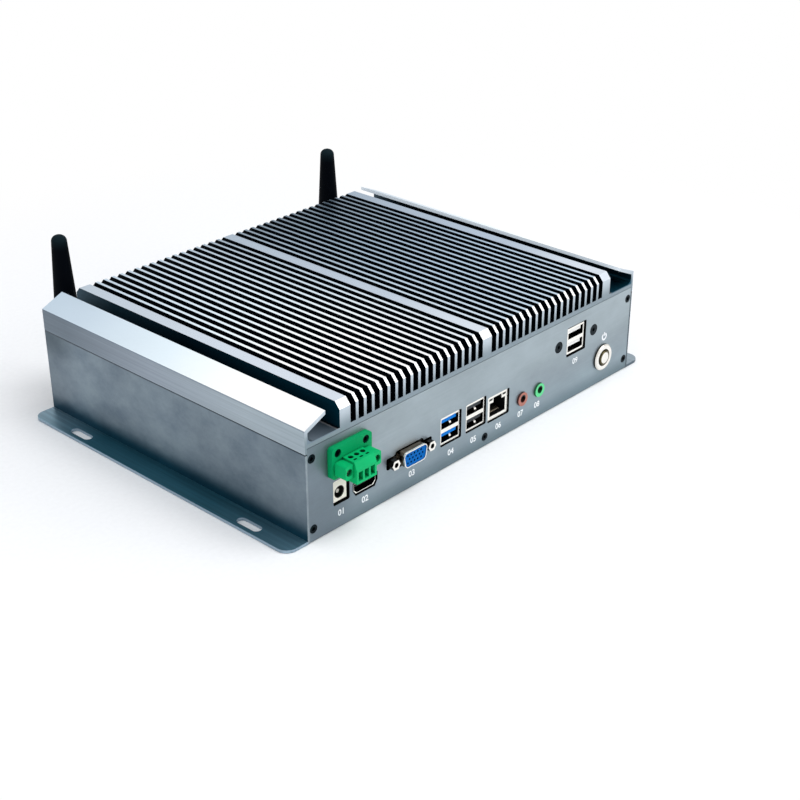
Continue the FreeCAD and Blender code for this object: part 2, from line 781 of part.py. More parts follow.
front = panel_blank("front_panel", "0", True, FRONT_USB_X, "front_usb_z")
square_cuts = [
    ("dc_x + 0.6", minus(DC_Z, "0.4"), "dc_width / 2 + 0.7", "dc_height / 2 + 0.8"),
    ("usb_a_x", "usb_z") + USB_CUT,
    ("usb_b_x", "usb_z") + USB_CUT,
    ("lan_x", "lan_z", "lan_width / 2 + usb_margin", "lan_height / 2 + usb_margin"),
    (FRONT_USB_X, "front_usb_z") + PANEL_USB_CUT,
]
openings = sketch(front, "front_openings", "XZ")
for x, z, half_width, half_height in square_cuts:
    outline(openings, around(x, z, half_width, half_height))
pocket(front, openings, "panel_thick")
along_y(front, "0.8", square_cuts)

COLLAR_HALF = "(terminal_screw_reach + 2)"
COLLAR_LOW = "plug_ear_low - 0.8"
COLLAR_HIGH = "plug_ear_high + 0.6"
ports = sketch(front, "front_ports", "XZ")
outline(ports, rectangle(
    "terminal_x - %s - 0.2" % COLLAR_HALF,
    "terminal_x + %s + 0.2" % COLLAR_HALF,
    COLLAR_LOW + " - 0.2", COLLAR_HIGH + " + 0.2"))
for side in (-1, 1):
    circle(ports, "terminal_x + %d * terminal_screw_reach" % side, "terminal_screw_high", HOLE)
for x in ("mic_x", "line_x"):
    circle(ports, x, "audio_z", "audio_radius + 0.15")
circle(ports, BUTTON_X, "button_z", "button_body + 0.1")
pocket(front, ports, "panel_thick")


def hdmi_outline(grow):
    """Flat mouth with its two lower corners cut off."""
    half = "(hdmi_width / 2 + %s)" % grow
    high = "hdmi_z + hdmi_height / 2 + %s" % grow
    low = "hdmi_z - hdmi_height / 2 - %s" % grow
    return [
        ("hdmi_x - %s" % half, high),
        ("hdmi_x - %s" % half, "hdmi_z - 0.6"),
        ("hdmi_x - %s + 1.9" % half, low),
        ("hdmi_x + %s - 1.9" % half, low),
        ("hdmi_x + %s" % half, "hdmi_z - 0.6"),
        ("hdmi_x + %s" % half, high),
    ]


video = sketch(front, "front_video_ports", "XZ")
outline(video, hdmi_outline("hdmi_margin"))
EAR_HALF = "d_screw_reach + jack_across / 2 + 0.9"
outline(video, [
    ("vga_x - (%s)" % EAR_HALF, "vga_z - jack_across / 2 - 0.7"),
    ("vga_x - d_half_width + d_slant - 1.6", "vga_z - jack_across / 2 - 0.7"),
    ("vga_x - d_half_width + d_slant - 1.0", "vga_z - d_half_height - d_panel_margin"),
    ("vga_x + d_half_width - d_slant + 1.0", "vga_z - d_half_height - d_panel_margin"),
    ("vga_x + d_half_width - d_slant + 1.6", "vga_z - jack_across / 2 - 0.7"),
    ("vga_x + (%s)" % EAR_HALF, "vga_z - jack_across / 2 - 0.7"),
    ("vga_x + (%s)" % EAR_HALF, "vga_z + jack_across / 2 + 0.7"),
    ("vga_x + d_half_width + 1.4", "vga_z + jack_across / 2 + 0.7"),
    ("vga_x + d_half_width + 0.8", "vga_z + d_half_height + d_panel_margin"),
    ("vga_x - d_half_width - 0.8", "vga_z + d_half_height + d_panel_margin"),
    ("vga_x - d_half_width - 1.4", "vga_z + jack_across / 2 + 0.7"),
    ("vga_x - (%s)" % EAR_HALF, "vga_z + jack_across / 2 + 0.7"),
])
pocket(front, video, "panel_thick")
along_y(front, "1.2", [("vga_x", "vga_z", EAR_HALF, "d_half_height + 1")])
keep("front_panel", front)


def serial_u(column):
    return "serial_first_u + %d * serial_pitch" % column


SERIAL = [(from_right(serial_u(column)), "serial_high") for column in range(4)]
SERIAL += [(from_right(serial_u(column)), "serial_low") for column in range(2)]
ANTENNAS = {"left": "antenna_left_x", "right": from_right("antenna_right_u")}
REAR_FACE = minus("body_depth", "panel_thick")

rear_usb_x = from_right("rear_usb_u")
rear = panel_blank("rear_panel", REAR_FACE, False, rear_usb_x, "rear_usb_z")
rear_square = [(rear_usb_x, "rear_usb_z") + PANEL_USB_CUT]
rear_openings = sketch(rear, "rear_openings", "XZ", REAR_FACE)
outline(rear_openings, around(*rear_square[0]))
for x, z in SERIAL:
    outline(rear_openings, d_outline(x, z, "d_panel_margin"))
pocket(rear, rear_openings, "panel_thick")
along_y(rear, "1.2", rear_square + [(x, z, "d_half_width + 1", "d_half_height + 1") for x, z in SERIAL])
rear_ports = sketch(rear, "rear_ports", "XZ", REAR_FACE)
for x, z in SERIAL:
    for side in (-1, 1):
        circle(rear_ports, "%s + %d * d_screw_reach" % (x, side), z, "jack_thread + 0.3")
for x in ANTENNAS.values():
    circle(rear_ports, x, "antenna_z", "jack_radius + 0.08")
pocket(rear, rear_ports, "panel_thick")
keep("rear_panel", rear)


# Screws: a head with a hexagon socket and a plain shank, drawn with the head's face at y = 0


def screw(name, head_radius, head_depth, length):
    body = new_body(name)
    profile = sketch(body, name + "_profile", "XY")
    outline(profile, [
        ("0", "0"),
        (minus(head_radius, "0.2"), "0"),
        (head_radius, "0.2"),
        (head_radius, head_depth),
        ("screw_radius", head_depth),
        ("screw_radius", plus(head_depth, length, "-0.3")),
        ("screw_radius - 0.3", plus(head_depth, length)),
        ("0", plus(head_depth, length)),
    ])
    revolve(body, profile)
    socket = sketch(body, name + "_socket", "XZ")
    outline(socket, hexagon("0", "0", "socket_across"))
    pocket(body, socket, "0.6 * (%s)" % head_depth)
    return body


panel_screw = screw("panel_screw", "screw_head_radius", "screw_head_depth", "screw_length")
places = [(x, "head_sunk", z, "forward") for x, z in PANEL_SCREWS]
places += [(x, "body_depth - head_sunk", z, "backward") for x, z in PANEL_SCREWS]
group("panel_screws", panel_screw, places)

case_screw = screw("case_screw", "screw_head_radius", "case_head_depth", "case_screw_length")
up = FreeCAD.Rotation(V(1, 0, 0), 90)
case_shapes = []
CASE_SCREW_ROWS = [
    ("foot_screw_inset", "head_sunk"),
    ("cover_screw_inset", "cover_under - fit_gap - flange_thick + head_sunk"),
]
for inset, height in CASE_SCREW_ROWS:
    for x in (inset, from_right(inset)):
        for y in CASE_SCREW_YS:
            spot = V(number(x), number(y), number(height))
            case_shapes.append(moved(case_screw, FreeCAD.Placement(spot, up)))
case_screws = doc.addObject("Part::Feature", "case_screws_group")
case_screws.Shape = Part.makeCompound(case_shapes)
keep("case_screws", case_screws)

usb_screw = screw("usb_screw", "usb_head_radius", "screw_head_depth", "usb_screw_length")
places = [(x, "head_sunk", "front_usb_z", "forward") for x in beside_usb(FRONT_USB_X)]
places += [(x, "body_depth - head_sunk", "rear_usb_z", "backward") for x in beside_usb(rear_usb_x)]
group("usb_fixing_screws", usb_screw, places)


# Supply terminal: panel socket, plug and their screws


header = new_body("terminal_header")
face = sketch(header, "header_face", "XZ", "-1 * terminal_face_thick")
outline(face, rectangle(
    "terminal_x - terminal_face_width / 2", "terminal_x + terminal_face_width / 2",
    "terminal_face_low", "terminal_face_high"))
pad(header, face, "terminal_face_thick")
round_edges(header, V(0, 1, 0), "1.8", lambda p: True)
collar = sketch(header, "header_collar", "XZ")
outline(collar, rectangle(
    "terminal_x - %s" % COLLAR_HALF, "terminal_x + %s" % COLLAR_HALF, COLLAR_LOW, COLLAR_HIGH))
pad(header, collar, "12")
mouth = sketch(header, "header_mouth", "XZ", "-1 * terminal_face_thick")
outline(mouth, rectangle(
    "terminal_x - plug_width / 2 + tongue_inset - tongue_gap",
    "terminal_x + plug_width / 2 - tongue_inset + tongue_gap",
    "tongue_low - tongue_gap", "tongue_high + tongue_gap"))
pocket(header, mouth, "11")
face_holes = sketch(header, "header_holes", "XZ", "-1 * terminal_face_thick")
face_sinks = sketch(header, "header_sinks", "XZ", "-1 * terminal_face_thick")
lock_holes = sketch(header, "header_lock_holes", "XZ", "-1 * terminal_face_thick")
for side in (-1, 1):
    flange_x = "terminal_x + %d * terminal_screw_reach" % side
    circle(face_holes, flange_x, "terminal_screw_high", HOLE)
    circle(face_sinks, flange_x, "terminal_screw_high", "flange_head_radius + 0.25")
    circle(lock_holes, "terminal_x + %d * terminal_screw_reach" % side, "terminal_lock_height", HOLE)
pocket(header, face_holes, "terminal_face_thick")
pocket(header, face_sinks, "flange_head_depth + flange_head_sunk + fit_gap")
pocket(header, lock_holes, "terminal_face_thick + 6")
keep("terminal_header", header)

plug = new_body("terminal_plug")
PLUG_BACK = "-1 * terminal_face_thick - fit_gap"
plug_side = sketch(plug, "plug_side", "YZ", "terminal_x - plug_width / 2")
outline(plug_side, [
    (PLUG_BACK, "plug_low"),
    (PLUG_BACK, "plug_high"),
    ("-1 * plug_front + plug_slope_run", "plug_high"),
    ("-1 * plug_front", "plug_slope_low"),
    ("-1 * plug_front", "plug_low"),
])
pad(plug, plug_side, "plug_width")
plug_ears = sketch(plug, "plug_ears", "XZ", "-1 * ear_front")
outline(plug_ears, rectangle(
    "terminal_x - plug_ear_width / 2", "terminal_x + plug_ear_width / 2", "plug_ear_low", "plug_ear_high"))
pad(plug, plug_ears, "ear_front - terminal_face_thick - fit_gap")


def at_ear_side(point):
    return abs(point.x - number("terminal_x")) > number("plug_ear_width / 2 - 0.1")


round_edges(plug, V(0, 1, 0), "0.9", at_ear_side)
tongue = sketch(plug, "plug_tongue", "XZ", PLUG_BACK)
outline(tongue, rectangle(
    "terminal_x - plug_width / 2 + tongue_inset", "terminal_x + plug_width / 2 - tongue_inset",
    "tongue_low", "tongue_high"))
pad(plug, tongue, "8")
ways = sketch(plug, "plug_ways", "XZ", "-1 * plug_front")
tops = sketch(plug, "plug_tops", "XY", "plug_high - 3.6")
notches = sketch(plug, "plug_notches", "XY", "plug_high - 1.2")
for step in (-1, 0, 1):
    way_x = "terminal_x + %d * terminal_pitch" % step
    outline(ways, rectangle(
        way_x + " - plug_way_width / 2", way_x + " + plug_way_width / 2", "plug_way_low", "plug_way_high"))
    circle(tops, way_x, "-1 * clamp_front", "clamp_radius + 0.1")
    outline(notches, around(way_x, "-1 * notch_front", "0.95", "0.5"))
pocket(plug, ways, "7")
pocket(plug, tops, "3.6")
pocket(plug, notches, "1.2")
lock_bores = sketch(plug, "plug_lock_bores", "XZ", "-1 * ear_front")
lock_sinks = sketch(plug, "plug_lock_sinks", "XZ", "-1 * ear_front")
for side in (-1, 1):
    circle(lock_bores, "terminal_x + %d * terminal_screw_reach" % side, "terminal_lock_height", HOLE)
    circle(lock_sinks, "terminal_x + %d * terminal_screw_reach" % side, "terminal_lock_height", "1.85")
pocket(plug, lock_bores, "ear_front - terminal_face_thick - fit_gap")
pocket(plug, lock_sinks, "3")
keep("terminal_plug", plug)

flange_screw = screw("flange_screw", "flange_head_radius", "flange_head_depth", "6")
FLANGE_HEAD_Y = "flange_head_sunk - terminal_face_thick"
group("terminal_flange_screws", flange_screw, [
    ("terminal_x + %d * terminal_screw_reach" % side, FLANGE_HEAD_Y, "terminal_screw_high", "forward")
    for side in (-1, 1)
])


def slotted_screw(name, radius, head, length):
    """A small screw with a straight slot; without a length only its head is drawn."""
    body = new_body(name)
    profile = sketch(body, name + "_profile", "XY")
    if length:
        outline(profile, [
            ("0", "0"), (radius, "0"), (radius, head), ("screw_radius", head),
            ("screw_radius", plus(head, length)), ("0", plus(head, length)),
        ])
    else:
        outline(profile, [("0", "0"), (radius, "0"), (radius, head), ("0", head)])
    revolve(body, profile)
    groove = sketch(body, name + "_groove", "XZ")
    outline(groove, around("0", "0", radius + " + 0.3", "0.25"))
    pocket(body, groove, "0.5")
    return body


lock_screw = slotted_screw("lock_screw", "1.7", "1.4", "9")
clamp_screw = slotted_screw("clamp_screw", "clamp_radius", "1.6", "")
lock_shapes = []
for side in (-1, 1):
    lock_x = number("terminal_x + %d * terminal_screw_reach" % side)
    spot = V(lock_x, number("-1 * ear_front + 1.6"), number("terminal_lock_height"))
    turn = FreeCAD.Rotation(V(0, 1, 0), 35 * side)
    lock_shapes.append(moved(lock_screw, FreeCAD.Placement(spot, turn)))
down = FreeCAD.Rotation(V(1, 0, 0), -90)
for step in (-1, 0, 1):
    clamp_x = number("terminal_x + %d * terminal_pitch" % step)
    spot = V(clamp_x, number("-1 * clamp_front"), number("plug_high - 1.95"))
    lock_shapes.append(moved(clamp_screw, FreeCAD.Placement(spot, down)))
plug_screws = doc.addObject("Part::Feature", "terminal_plug_screws_group")
plug_screws.Shape = Part.makeCompound(lock_shapes)
keep("terminal_plug_screws", plug_screws)


# Ports on the mainboard's front edge


def on_corners(points):
    """Chooses the edges that run along y through the given outline's corners."""
    spots = [(number(x), number(z)) for x, z in points]

    def chosen(point):
        return any(math.hypot(point.x - x, point.z - z) < 0.02 for x, z in spots)
    return chosen


def board_foot(body, x, half_width, low, length="8"):
    """The solder base that stands a port on the mainboard."""
    foot = sketch(body, body.Name + "_foot", "XZ", "board_y + 1.4")
    outline(foot, rectangle(minus(x, half_width), plus(x, half_width), "board_top", low))
    pad(body, foot, length)


dc_block = block(
    "dc_block", ("dc_x - dc_width / 2", "port_set_back", "dc_low"), ("dc_width", "14", "dc_height"))
dc_base = block(
    "dc_base", ("dc_x - dc_width / 2 + 1", "board_y + 1.4", "board_top"),
    ("dc_width - 2", "9", "dc_low - board_top"))
DC_BORE_Z = "dc_low + 4.4"
dc_hollow = round_bar("dc_hollow", ("dc_x", "0", DC_BORE_Z), "dc_bore", "9.4", "y")
keep("dc_jack", cut("dc_jack_cut", fuse("dc_body", dc_block, dc_base), dc_hollow))
keep("dc_jack_pin", loose("dc_pin", round_bar("dc_pin_bar", ("dc_x", "2", DC_BORE_Z), "1", "7.4", "y")))

hdmi = new_body("hdmi_shell")
hdmi_outer = sketch(hdmi, "hdmi_outer", "XZ", "hdmi_set_back")
outline(hdmi_outer, hdmi_outline("0"))
pad(hdmi, hdmi_outer, "11")
hdmi_mouth = sketch(hdmi, "hdmi_mouth", "XZ", "hdmi_set_back")
outline(hdmi_mouth, hdmi_outline("(-0.5)"))
pocket(hdmi, hdmi_mouth, "9.5")
board_foot(hdmi, "hdmi_x", "4", "hdmi_z - hdmi_height / 2")
keep("hdmi_shell", hdmi)
hdmi_blade = block(
    "hdmi_blade", ("hdmi_x - 5.6", "hdmi_set_back + 1.1", "hdmi_z"), ("11.2", "8.4", "1.3"))
keep("hdmi_tongue", loose("hdmi_tongue_piece", hdmi_blade))


def d_prism(label, x, z, grow, corner, at, length):
    """A bar with the rounded D section."""
    body = new_body(label)
    section = sketch(body, label + "_section", "XZ", at)
    outline(section, d_outline(x, z, grow))
    pad(body, section, length)
    round_edges(body, V(0, 1, 0), corner, on_corners(d_outline(x, z, grow)))
    return body


def d_shell(label, x, z, on_board):
    length = plus("d_reach", PANEL_BACK, "d_flange_thick")
    body = d_prism(label + "_outside", x, z, "0", "d_corner", "-1 * d_reach", length)
    flange = sketch(body, label + "_plate", "XZ", PANEL_BACK)
    outline(flange, around(x, z, "d_flange_width / 2", "d_flange_height / 2"))
    pad(body, flange, "d_flange_thick")
    holes = sketch(body, label + "_holes", "XZ", PANEL_BACK)
    for side in (-1, 1):
        circle(holes, "%s + %d * d_screw_reach" % (x, side), z, HOLE)
    pocket(body, holes, "d_flange_thick")
    if on_board:
        board_foot(body, x, "12", minus(z, "d_flange_height / 2"), "1.2")
    inside = d_prism(
        label + "_inside", x, z, "-1 * d_wall", "d_corner - d_wall", "-1 * d_reach - 1", plus(length, "2"))
    shell = cut(label + "_cut", body, inside)
    doc.recompute()
    return shell


def d_insulator(label, x, z, face):
    snug = "-1 * d_wall - fit_gap"
    return d_prism(label, x, z, snug, "d_corner - d_wall", face, plus("11", minus("0", face)))


def jackscrew(name, seat):
    body = new_body(name)
    hexagonal = sketch(body, name + "_hex", "XZ", "-1 * jack_reach")
    outline(hexagonal, hexagon("0", "0", "jack_across"))
    pad(body, hexagonal, plus("jack_reach", seat))
    stud = sketch(body, name + "_stud", "XZ", seat)
    circle(stud, "0", "0", "screw_radius")
    pad(body, stud, "5")
    thread = sketch(body, name + "_thread", "XZ", "-1 * jack_reach")
    circle(thread, "0", "0", "jack_thread")
    pocket(body, thread, minus("jack_reach", "0.6"))
    return body


def pin_grid(rows, pitch):
    """Places of contacts, as offsets from the connector's middle; rows are height and count."""
    spots = []
    for height, count in rows:
        for index in range(count):
            spots.append(("%g * %s" % (index - (count - 1) / 2, pitch), height))
    return spots


keep("vga_shell", d_shell("vga_shell", "vga_x", "vga_z", True))
vga_core = d_insulator("vga_insulator", "vga_x", "vga_z", "-1 * d_reach + 0.4")
vga_holes = sketch(vga_core, "vga_holes", "XZ", "-1 * d_reach + 0.4")
VGA_ROW_COUNT = 5
VGA_ROWS = (("vga_row", "-1"), ("0", "1"), ("-1 * vga_row", "-1"))
for height, side in VGA_ROWS:
    for x, z in pin_grid([(height, VGA_ROW_COUNT)], "vga_pitch"):
        circle(vga_holes, "vga_x + %s + %s * vga_pitch / 4" % (x, side), plus("vga_z", z), "0.55")
pocket(vga_core, vga_holes, "4")
keep("vga_insulator", vga_core)
vga_jack = jackscrew("vga_jackscrew", PANEL_BACK)
group("vga_jackscrews", vga_jack, [
    ("vga_x + %d * d_screw_reach" % side, "-1 * fit_gap", "vga_z", "forward") for side in (-1, 1)
])

USB_DEPTH = "16.6"
USB_PORT = "usb_height / 4"


def usb_shell(label, x, z, on_board):
    body = new_body(label)
    can = sketch(body, label + "_can", "XZ", "port_set_back")
    outline(can, around(x, z, "usb_width / 2", "usb_height / 2"))
    pad(body, can, USB_DEPTH)
    round_edges(body, V(0, 1, 0), "0.6", lambda p: True)
    mouths = sketch(body, label + "_mouths", "XZ", "port_set_back")
    for side in (-1, 1):
        port_z = "%s + %d * %s" % (z, side, USB_PORT)
        outline(mouths, around(x, port_z, "usb_mouth_width / 2", "usb_mouth_height / 2"))
    pocket(body, mouths, "9.5")
    if on_board:
        board_foot(body, x, "5", minus(z, "usb_height / 2"))
    return body


def usb_tongues(name, x, z):
    blades = []
    for side, word in ((-1, "low"), (1, "high")):
        corner = (minus(x, "usb_tongue_width / 2"), "port_set_back + 1", "%s + %d * %s" % (z, side, USB_PORT))
        size = ("usb_tongue_width", "8.5", "usb_tongue_thick")
        blades.append(block(name + "_" + word, corner, size))
    return loose(name, *blades)


keep("usb3_shell", usb_shell("usb3_shell", "usb_a_x", "usb_z", True))
keep("usb3_tongues", usb_tongues("usb3_blades", "usb_a_x", "usb_z"))
keep("usb2_shell", usb_shell("usb2_shell", "usb_b_x", "usb_z", True))
keep("usb2_tongues", usb_tongues("usb2_blades", "usb_b_x", "usb_z"))

lan = new_body("lan_shell")
lan_can = sketch(lan, "lan_can", "XZ", "port_set_back")
outline(lan_can, around("lan_x", "lan_z", "lan_width / 2", "lan_height / 2"))
pad(lan, lan_can, "21")
LAN_WALL = "0.5"
LAN_BEHIND = plus("port_set_back", LAN_WALL)
LAN_INSIDE = (minus("lan_width / 2", LAN_WALL), minus("lan_height / 2", LAN_WALL))
LAN_MOUTH = [
    ("lan_x - lan_mouth_half", "lan_z - lan_mouth_low"),
    ("lan_x + lan_mouth_half", "lan_z - lan_mouth_low"),
    ("lan_x + lan_mouth_half", "lan_z + lan_mouth_high"),
    ("lan_x + lan_notch_half", "lan_z + lan_mouth_high"),
    ("lan_x + lan_notch_half", "lan_z + lan_notch_high"),
    ("lan_x - lan_notch_half", "lan_z + lan_notch_high"),
    ("lan_x - lan_notch_half", "lan_z + lan_mouth_high"),
    ("lan_x - lan_mouth_half", "lan_z + lan_mouth_high"),
]
lan_hollow = sketch(lan, "lan_hollow", "XZ", LAN_BEHIND)
outline(lan_hollow, around("lan_x", "lan_z", *LAN_INSIDE))
pocket(lan, lan_hollow, "21")
lan_front = sketch(lan, "lan_front", "XZ", "port_set_back")
outline(lan_front, LAN_MOUTH)
for side in (-1, 1):
    window_x = "lan_x + %d * lan_light_x" % side
    outline(lan_front, around(
        window_x, "lan_z + lan_light_z", "lan_light_width / 2", "lan_light_height / 2"))
pocket(lan, lan_front, plus(LAN_WALL, "0.2"))
board_foot(lan, "lan_x", "6", "lan_z - lan_height / 2", "14")
keep("lan_shell", lan)

insert = new_body("lan_insert")
LAN_FACE = plus(LAN_BEHIND, "fit_gap")
insert_core = sketch(insert, "lan_core", "XZ", LAN_FACE)
outline(insert_core, around("lan_x", "lan_z", LAN_INSIDE[0] + " - fit_gap", LAN_INSIDE[1] + " - fit_gap"))
pad(insert, insert_core, "20")
lan_mouth = sketch(insert, "lan_mouth", "XZ", LAN_FACE)
outline(lan_mouth, LAN_MOUTH)
pocket(insert, lan_mouth, "12")
window_seats = sketch(insert, "lan_window_seats", "XZ", LAN_FACE)
windows = []
LIGHT_WIDTH = "(lan_light_width - 2 * fit_gap)"
LIGHT_HEIGHT = "(lan_light_height - 2 * fit_gap)"
for side in (-1, 1):
    window_x = "lan_x + %d * lan_light_x" % side
    window_z = "lan_z + lan_light_z"
    outline(window_seats, around(window_x, window_z, "lan_light_width / 2", "lan_light_height / 2"))
    window_corner = (
        "%s - %s / 2" % (window_x, LIGHT_WIDTH), "port_set_back + 0.2",
        "%s - %s / 2" % (window_z, LIGHT_HEIGHT))
    window_size = (LIGHT_WIDTH, LAN_WALL + " + 1.5", LIGHT_HEIGHT)
    windows.append(block("lan_window_%d" % (side + 1), window_corner, window_size))
pocket(insert, window_seats, "2")
keep("lan_insert", insert)
keep("lan_lights", loose("lan_windows", *windows))


def audio_jack(label, x):
    body = new_body(label)
    ring = sketch(body, label + "_ring", "XZ", "-1")
    circle(ring, x, "audio_z", "audio_radius")
    pad(body, ring, "board_y + 1 - fit_gap")
    case = sketch(body, label + "_case", "XZ", "board_y - fit_gap")
    outline(case, rectangle(minus(x, "4.4"), plus(x, "4.4"), "board_top", "board_top + 8.2"))
    pad(body, case, "11")
    bore = sketch(body, label + "_bore", "XZ", "-1")
    circle(bore, x, "audio_z", "audio_bore")
    pocket(body, bore, "13")
    keep(label, body)


audio_jack("mic_jack", "mic_x")
audio_jack("line_jack", "line_x")


# Screwed USB stacks, one in each panel


stack = usb_shell("stack_shell", "0", "0", False)
stack_blades = usb_tongues("stack_blades", "0", "0")
doc.recompute()
STACK_PLACES = [
    (FRONT_USB_X, "0", "front_usb_z", "forward"),
    (rear_usb_x, "body_depth", "rear_usb_z", "backward"),
]
group("panel_usb_shells", stack, STACK_PLACES)
group("panel_usb_tongues", stack_blades, STACK_PLACES)

STACK_BACK = plus("port_set_back", USB_DEPTH)
carrier = new_body("stack_carrier")
card = sketch(carrier, "carrier_card", "XZ", STACK_BACK)
outline(card, around("0", "0", "usb_screw_reach + 3.6", "8"))
pad(carrier, card, "board_thick")
posts = sketch(carrier, "carrier_posts", "XZ", PANEL_BACK)
post_holes = sketch(carrier, "carrier_post_holes", "XZ", PANEL_BACK)
for side in (-1, 1):
    circle(posts, "%d * usb_screw_reach" % side, "0", "2.6")
    circle(post_holes, "%d * usb_screw_reach" % side, "0", HOLE)
pad(carrier, posts, minus(STACK_BACK, PANEL_BACK))
pocket(carrier, post_holes, "8")
group("panel_usb_boards", carrier, STACK_PLACES)


# Power button, drawn around its own axis


bezel = new_body("power_button_bezel")
bezel_section = sketch(bezel, "bezel_section", "XY")
BEZEL_BORE = "button_cap + 0.06"
BUTTON_FLOOR = "12.5"
CAP_END = BUTTON_FLOOR + " - button_travel - 0.6"
outline(bezel_section, [
    (BEZEL_BORE, "-0.6"),
    (BEZEL_BORE + " + 0.8", "-1.4"),
    ("button_bezel - 0.6", "-1.4"),
    ("button_bezel", "-0.9"),
    ("button_bezel", "-1 * fit_gap"),
    ("button_body", "-1 * fit_gap"),
    ("button_body", "15"),
    ("0", "15"),
    ("0", BUTTON_FLOOR),
    (BEZEL_BORE, BUTTON_FLOOR),
])
revolve(bezel, bezel_section)
keep("power_button_bezel", bezel, BUTTON_X, "0", "button_z")

cap = new_body("power_button_cap")
cap_section = sketch(cap, "cap_section", "XY")
outline(cap_section, [
    ("0", "-2.0"),
    ("button_cap - 0.5", "-2.0"),
    ("button_cap", "-1.6"),
    ("button_cap", CAP_END),
    ("0", CAP_END),
])
revolve(cap, cap_section)
keep("power_button_cap", cap, BUTTON_X, "0", "button_z")

nut = new_body("power_button_nut")
nut_hex = sketch(nut, "button_nut_hex", "XZ", PANEL_BACK)
outline(nut_hex, hexagon("0", "0", "14"))
circle(nut_hex, "0", "0", "button_body + 0.05")
pad(nut, nut_hex, "2.6")
keep("power_button_nut", nut, BUTTON_X, "0", "button_z")


# Six serial ports in the rear panel


serial_places = [(x, "body_depth", z, "backward") for x, z in SERIAL]
group("serial_shells", d_shell("serial_shell", "0", "0", False), serial_places)
group("serial_insulators", d_insulator("serial_insulator", "0", "0", "-0.3"), serial_places)
SERIAL_TOP_COUNT = 5
SERIAL_LOW_COUNT = 4
pins = new_body("serial_pin_set")
pin_ends = sketch(pins, "pin_ends", "XZ", "-1 * d_reach + 0.7")
for x, z in pin_grid([("pin_row", SERIAL_TOP_COUNT), ("-1 * pin_row", SERIAL_LOW_COUNT)], "pin_pitch"):
    circle(pin_ends, x, z, "pin_radius")
pad(pins, pin_ends, "d_reach - 0.7 - 0.35")
group("serial_pins", pins, serial_places)
serial_jack = jackscrew("serial_jackscrew", "0")
group("serial_jackscrews", serial_jack, [
    ("%s + %d * d_screw_reach" % (x, side), plus("body_depth", "fit_gap"), z, "backward")
    for x, z in SERIAL for side in (-1, 1)
])
SERIAL_EDGE = "18"
board_left = "%s - %s" % (from_right(serial_u(3)), SERIAL_EDGE)
keep("serial_board", loose("serial_board_piece", block(
    "serial_card",
    (board_left, "body_depth - 11 - fit_gap - board_thick", "serial_low - 8"),
    ("3 * serial_pitch + 2 * " + SERIAL_EDGE, "board_thick", "serial_high - serial_low + 15"))))


# Antennas: socket and nut in the panel, then the coupling nut, elbow and rod


NUT_THICK = "2.2"
jack = new_body("antenna_jack")
jack_section = sketch(jack, "antenna_jack_section", "XY")
outline(jack_section, [
    ("0", "-6"),
    ("2.2", "-6"),
    ("2.2", "-9"),
    ("jack_radius", "-9"),
    ("jack_radius", PANEL_BACK),
    ("4.2", PANEL_BACK),
    ("4.2", "4.2"),
    ("2", "4.2"),
    ("2", "10"),
    ("0", "10"),
])
revolve(jack, jack_section)
antenna_places = [(x, "body_depth", "antenna_z", "backward") for x in ANTENNAS.values()]
group("antenna_jacks", jack, antenna_places)

jack_nut = new_body("antenna_jack_nut")
washer = sketch(jack_nut, "antenna_washer", "XZ", "-0.65")
circle(washer, "0", "0", "5.5")
pad(jack_nut, washer, "0.6")
nut_body = sketch(jack_nut, "antenna_nut_hex", "XZ", "-0.65 - " + NUT_THICK)
outline(nut_body, hexagon("0", "0", "elbow_side"))
pad(jack_nut, nut_body, NUT_THICK)
nut_bore = sketch(jack_nut, "antenna_nut_bore", "XZ", "-0.65 - " + NUT_THICK)
circle(nut_bore, "0", "0", "jack_radius + 0.05")
pocket(jack_nut, nut_bore, "0.6 + " + NUT_THICK)
group("antenna_jack_nuts", jack_nut, antenna_places)

coupling = new_body("antenna_coupling_nut")
coupling_hex = sketch(coupling, "coupling_hex", "XZ", "-11")
outline(coupling_hex, hexagon("0", "0", "elbow_side"))
pad(coupling, coupling_hex, "7.6")
coupling_bore = sketch(coupling, "coupling_bore", "XZ", "-10")
circle(coupling_bore, "0", "0", "jack_radius + 0.06")
pocket(coupling, coupling_bore, "6.6")
coupling_neck = sketch(coupling, "coupling_neck", "XZ", "-11")
circle(coupling_neck, "0", "0", "ferrule_radius + 0.06")
pocket(coupling, coupling_neck, "1")
group("antenna_coupling_nuts", coupling, antenna_places)


def circle_at(body, z):
    names = []
    for index, edge in enumerate(body.Shape.Edges, start=1):
        if isinstance(edge.Curve, Part.Circle) and abs(edge.CenterOfMass.z - number(z)) < 0.02:
            names.append("Edge%d" % index)
    return names


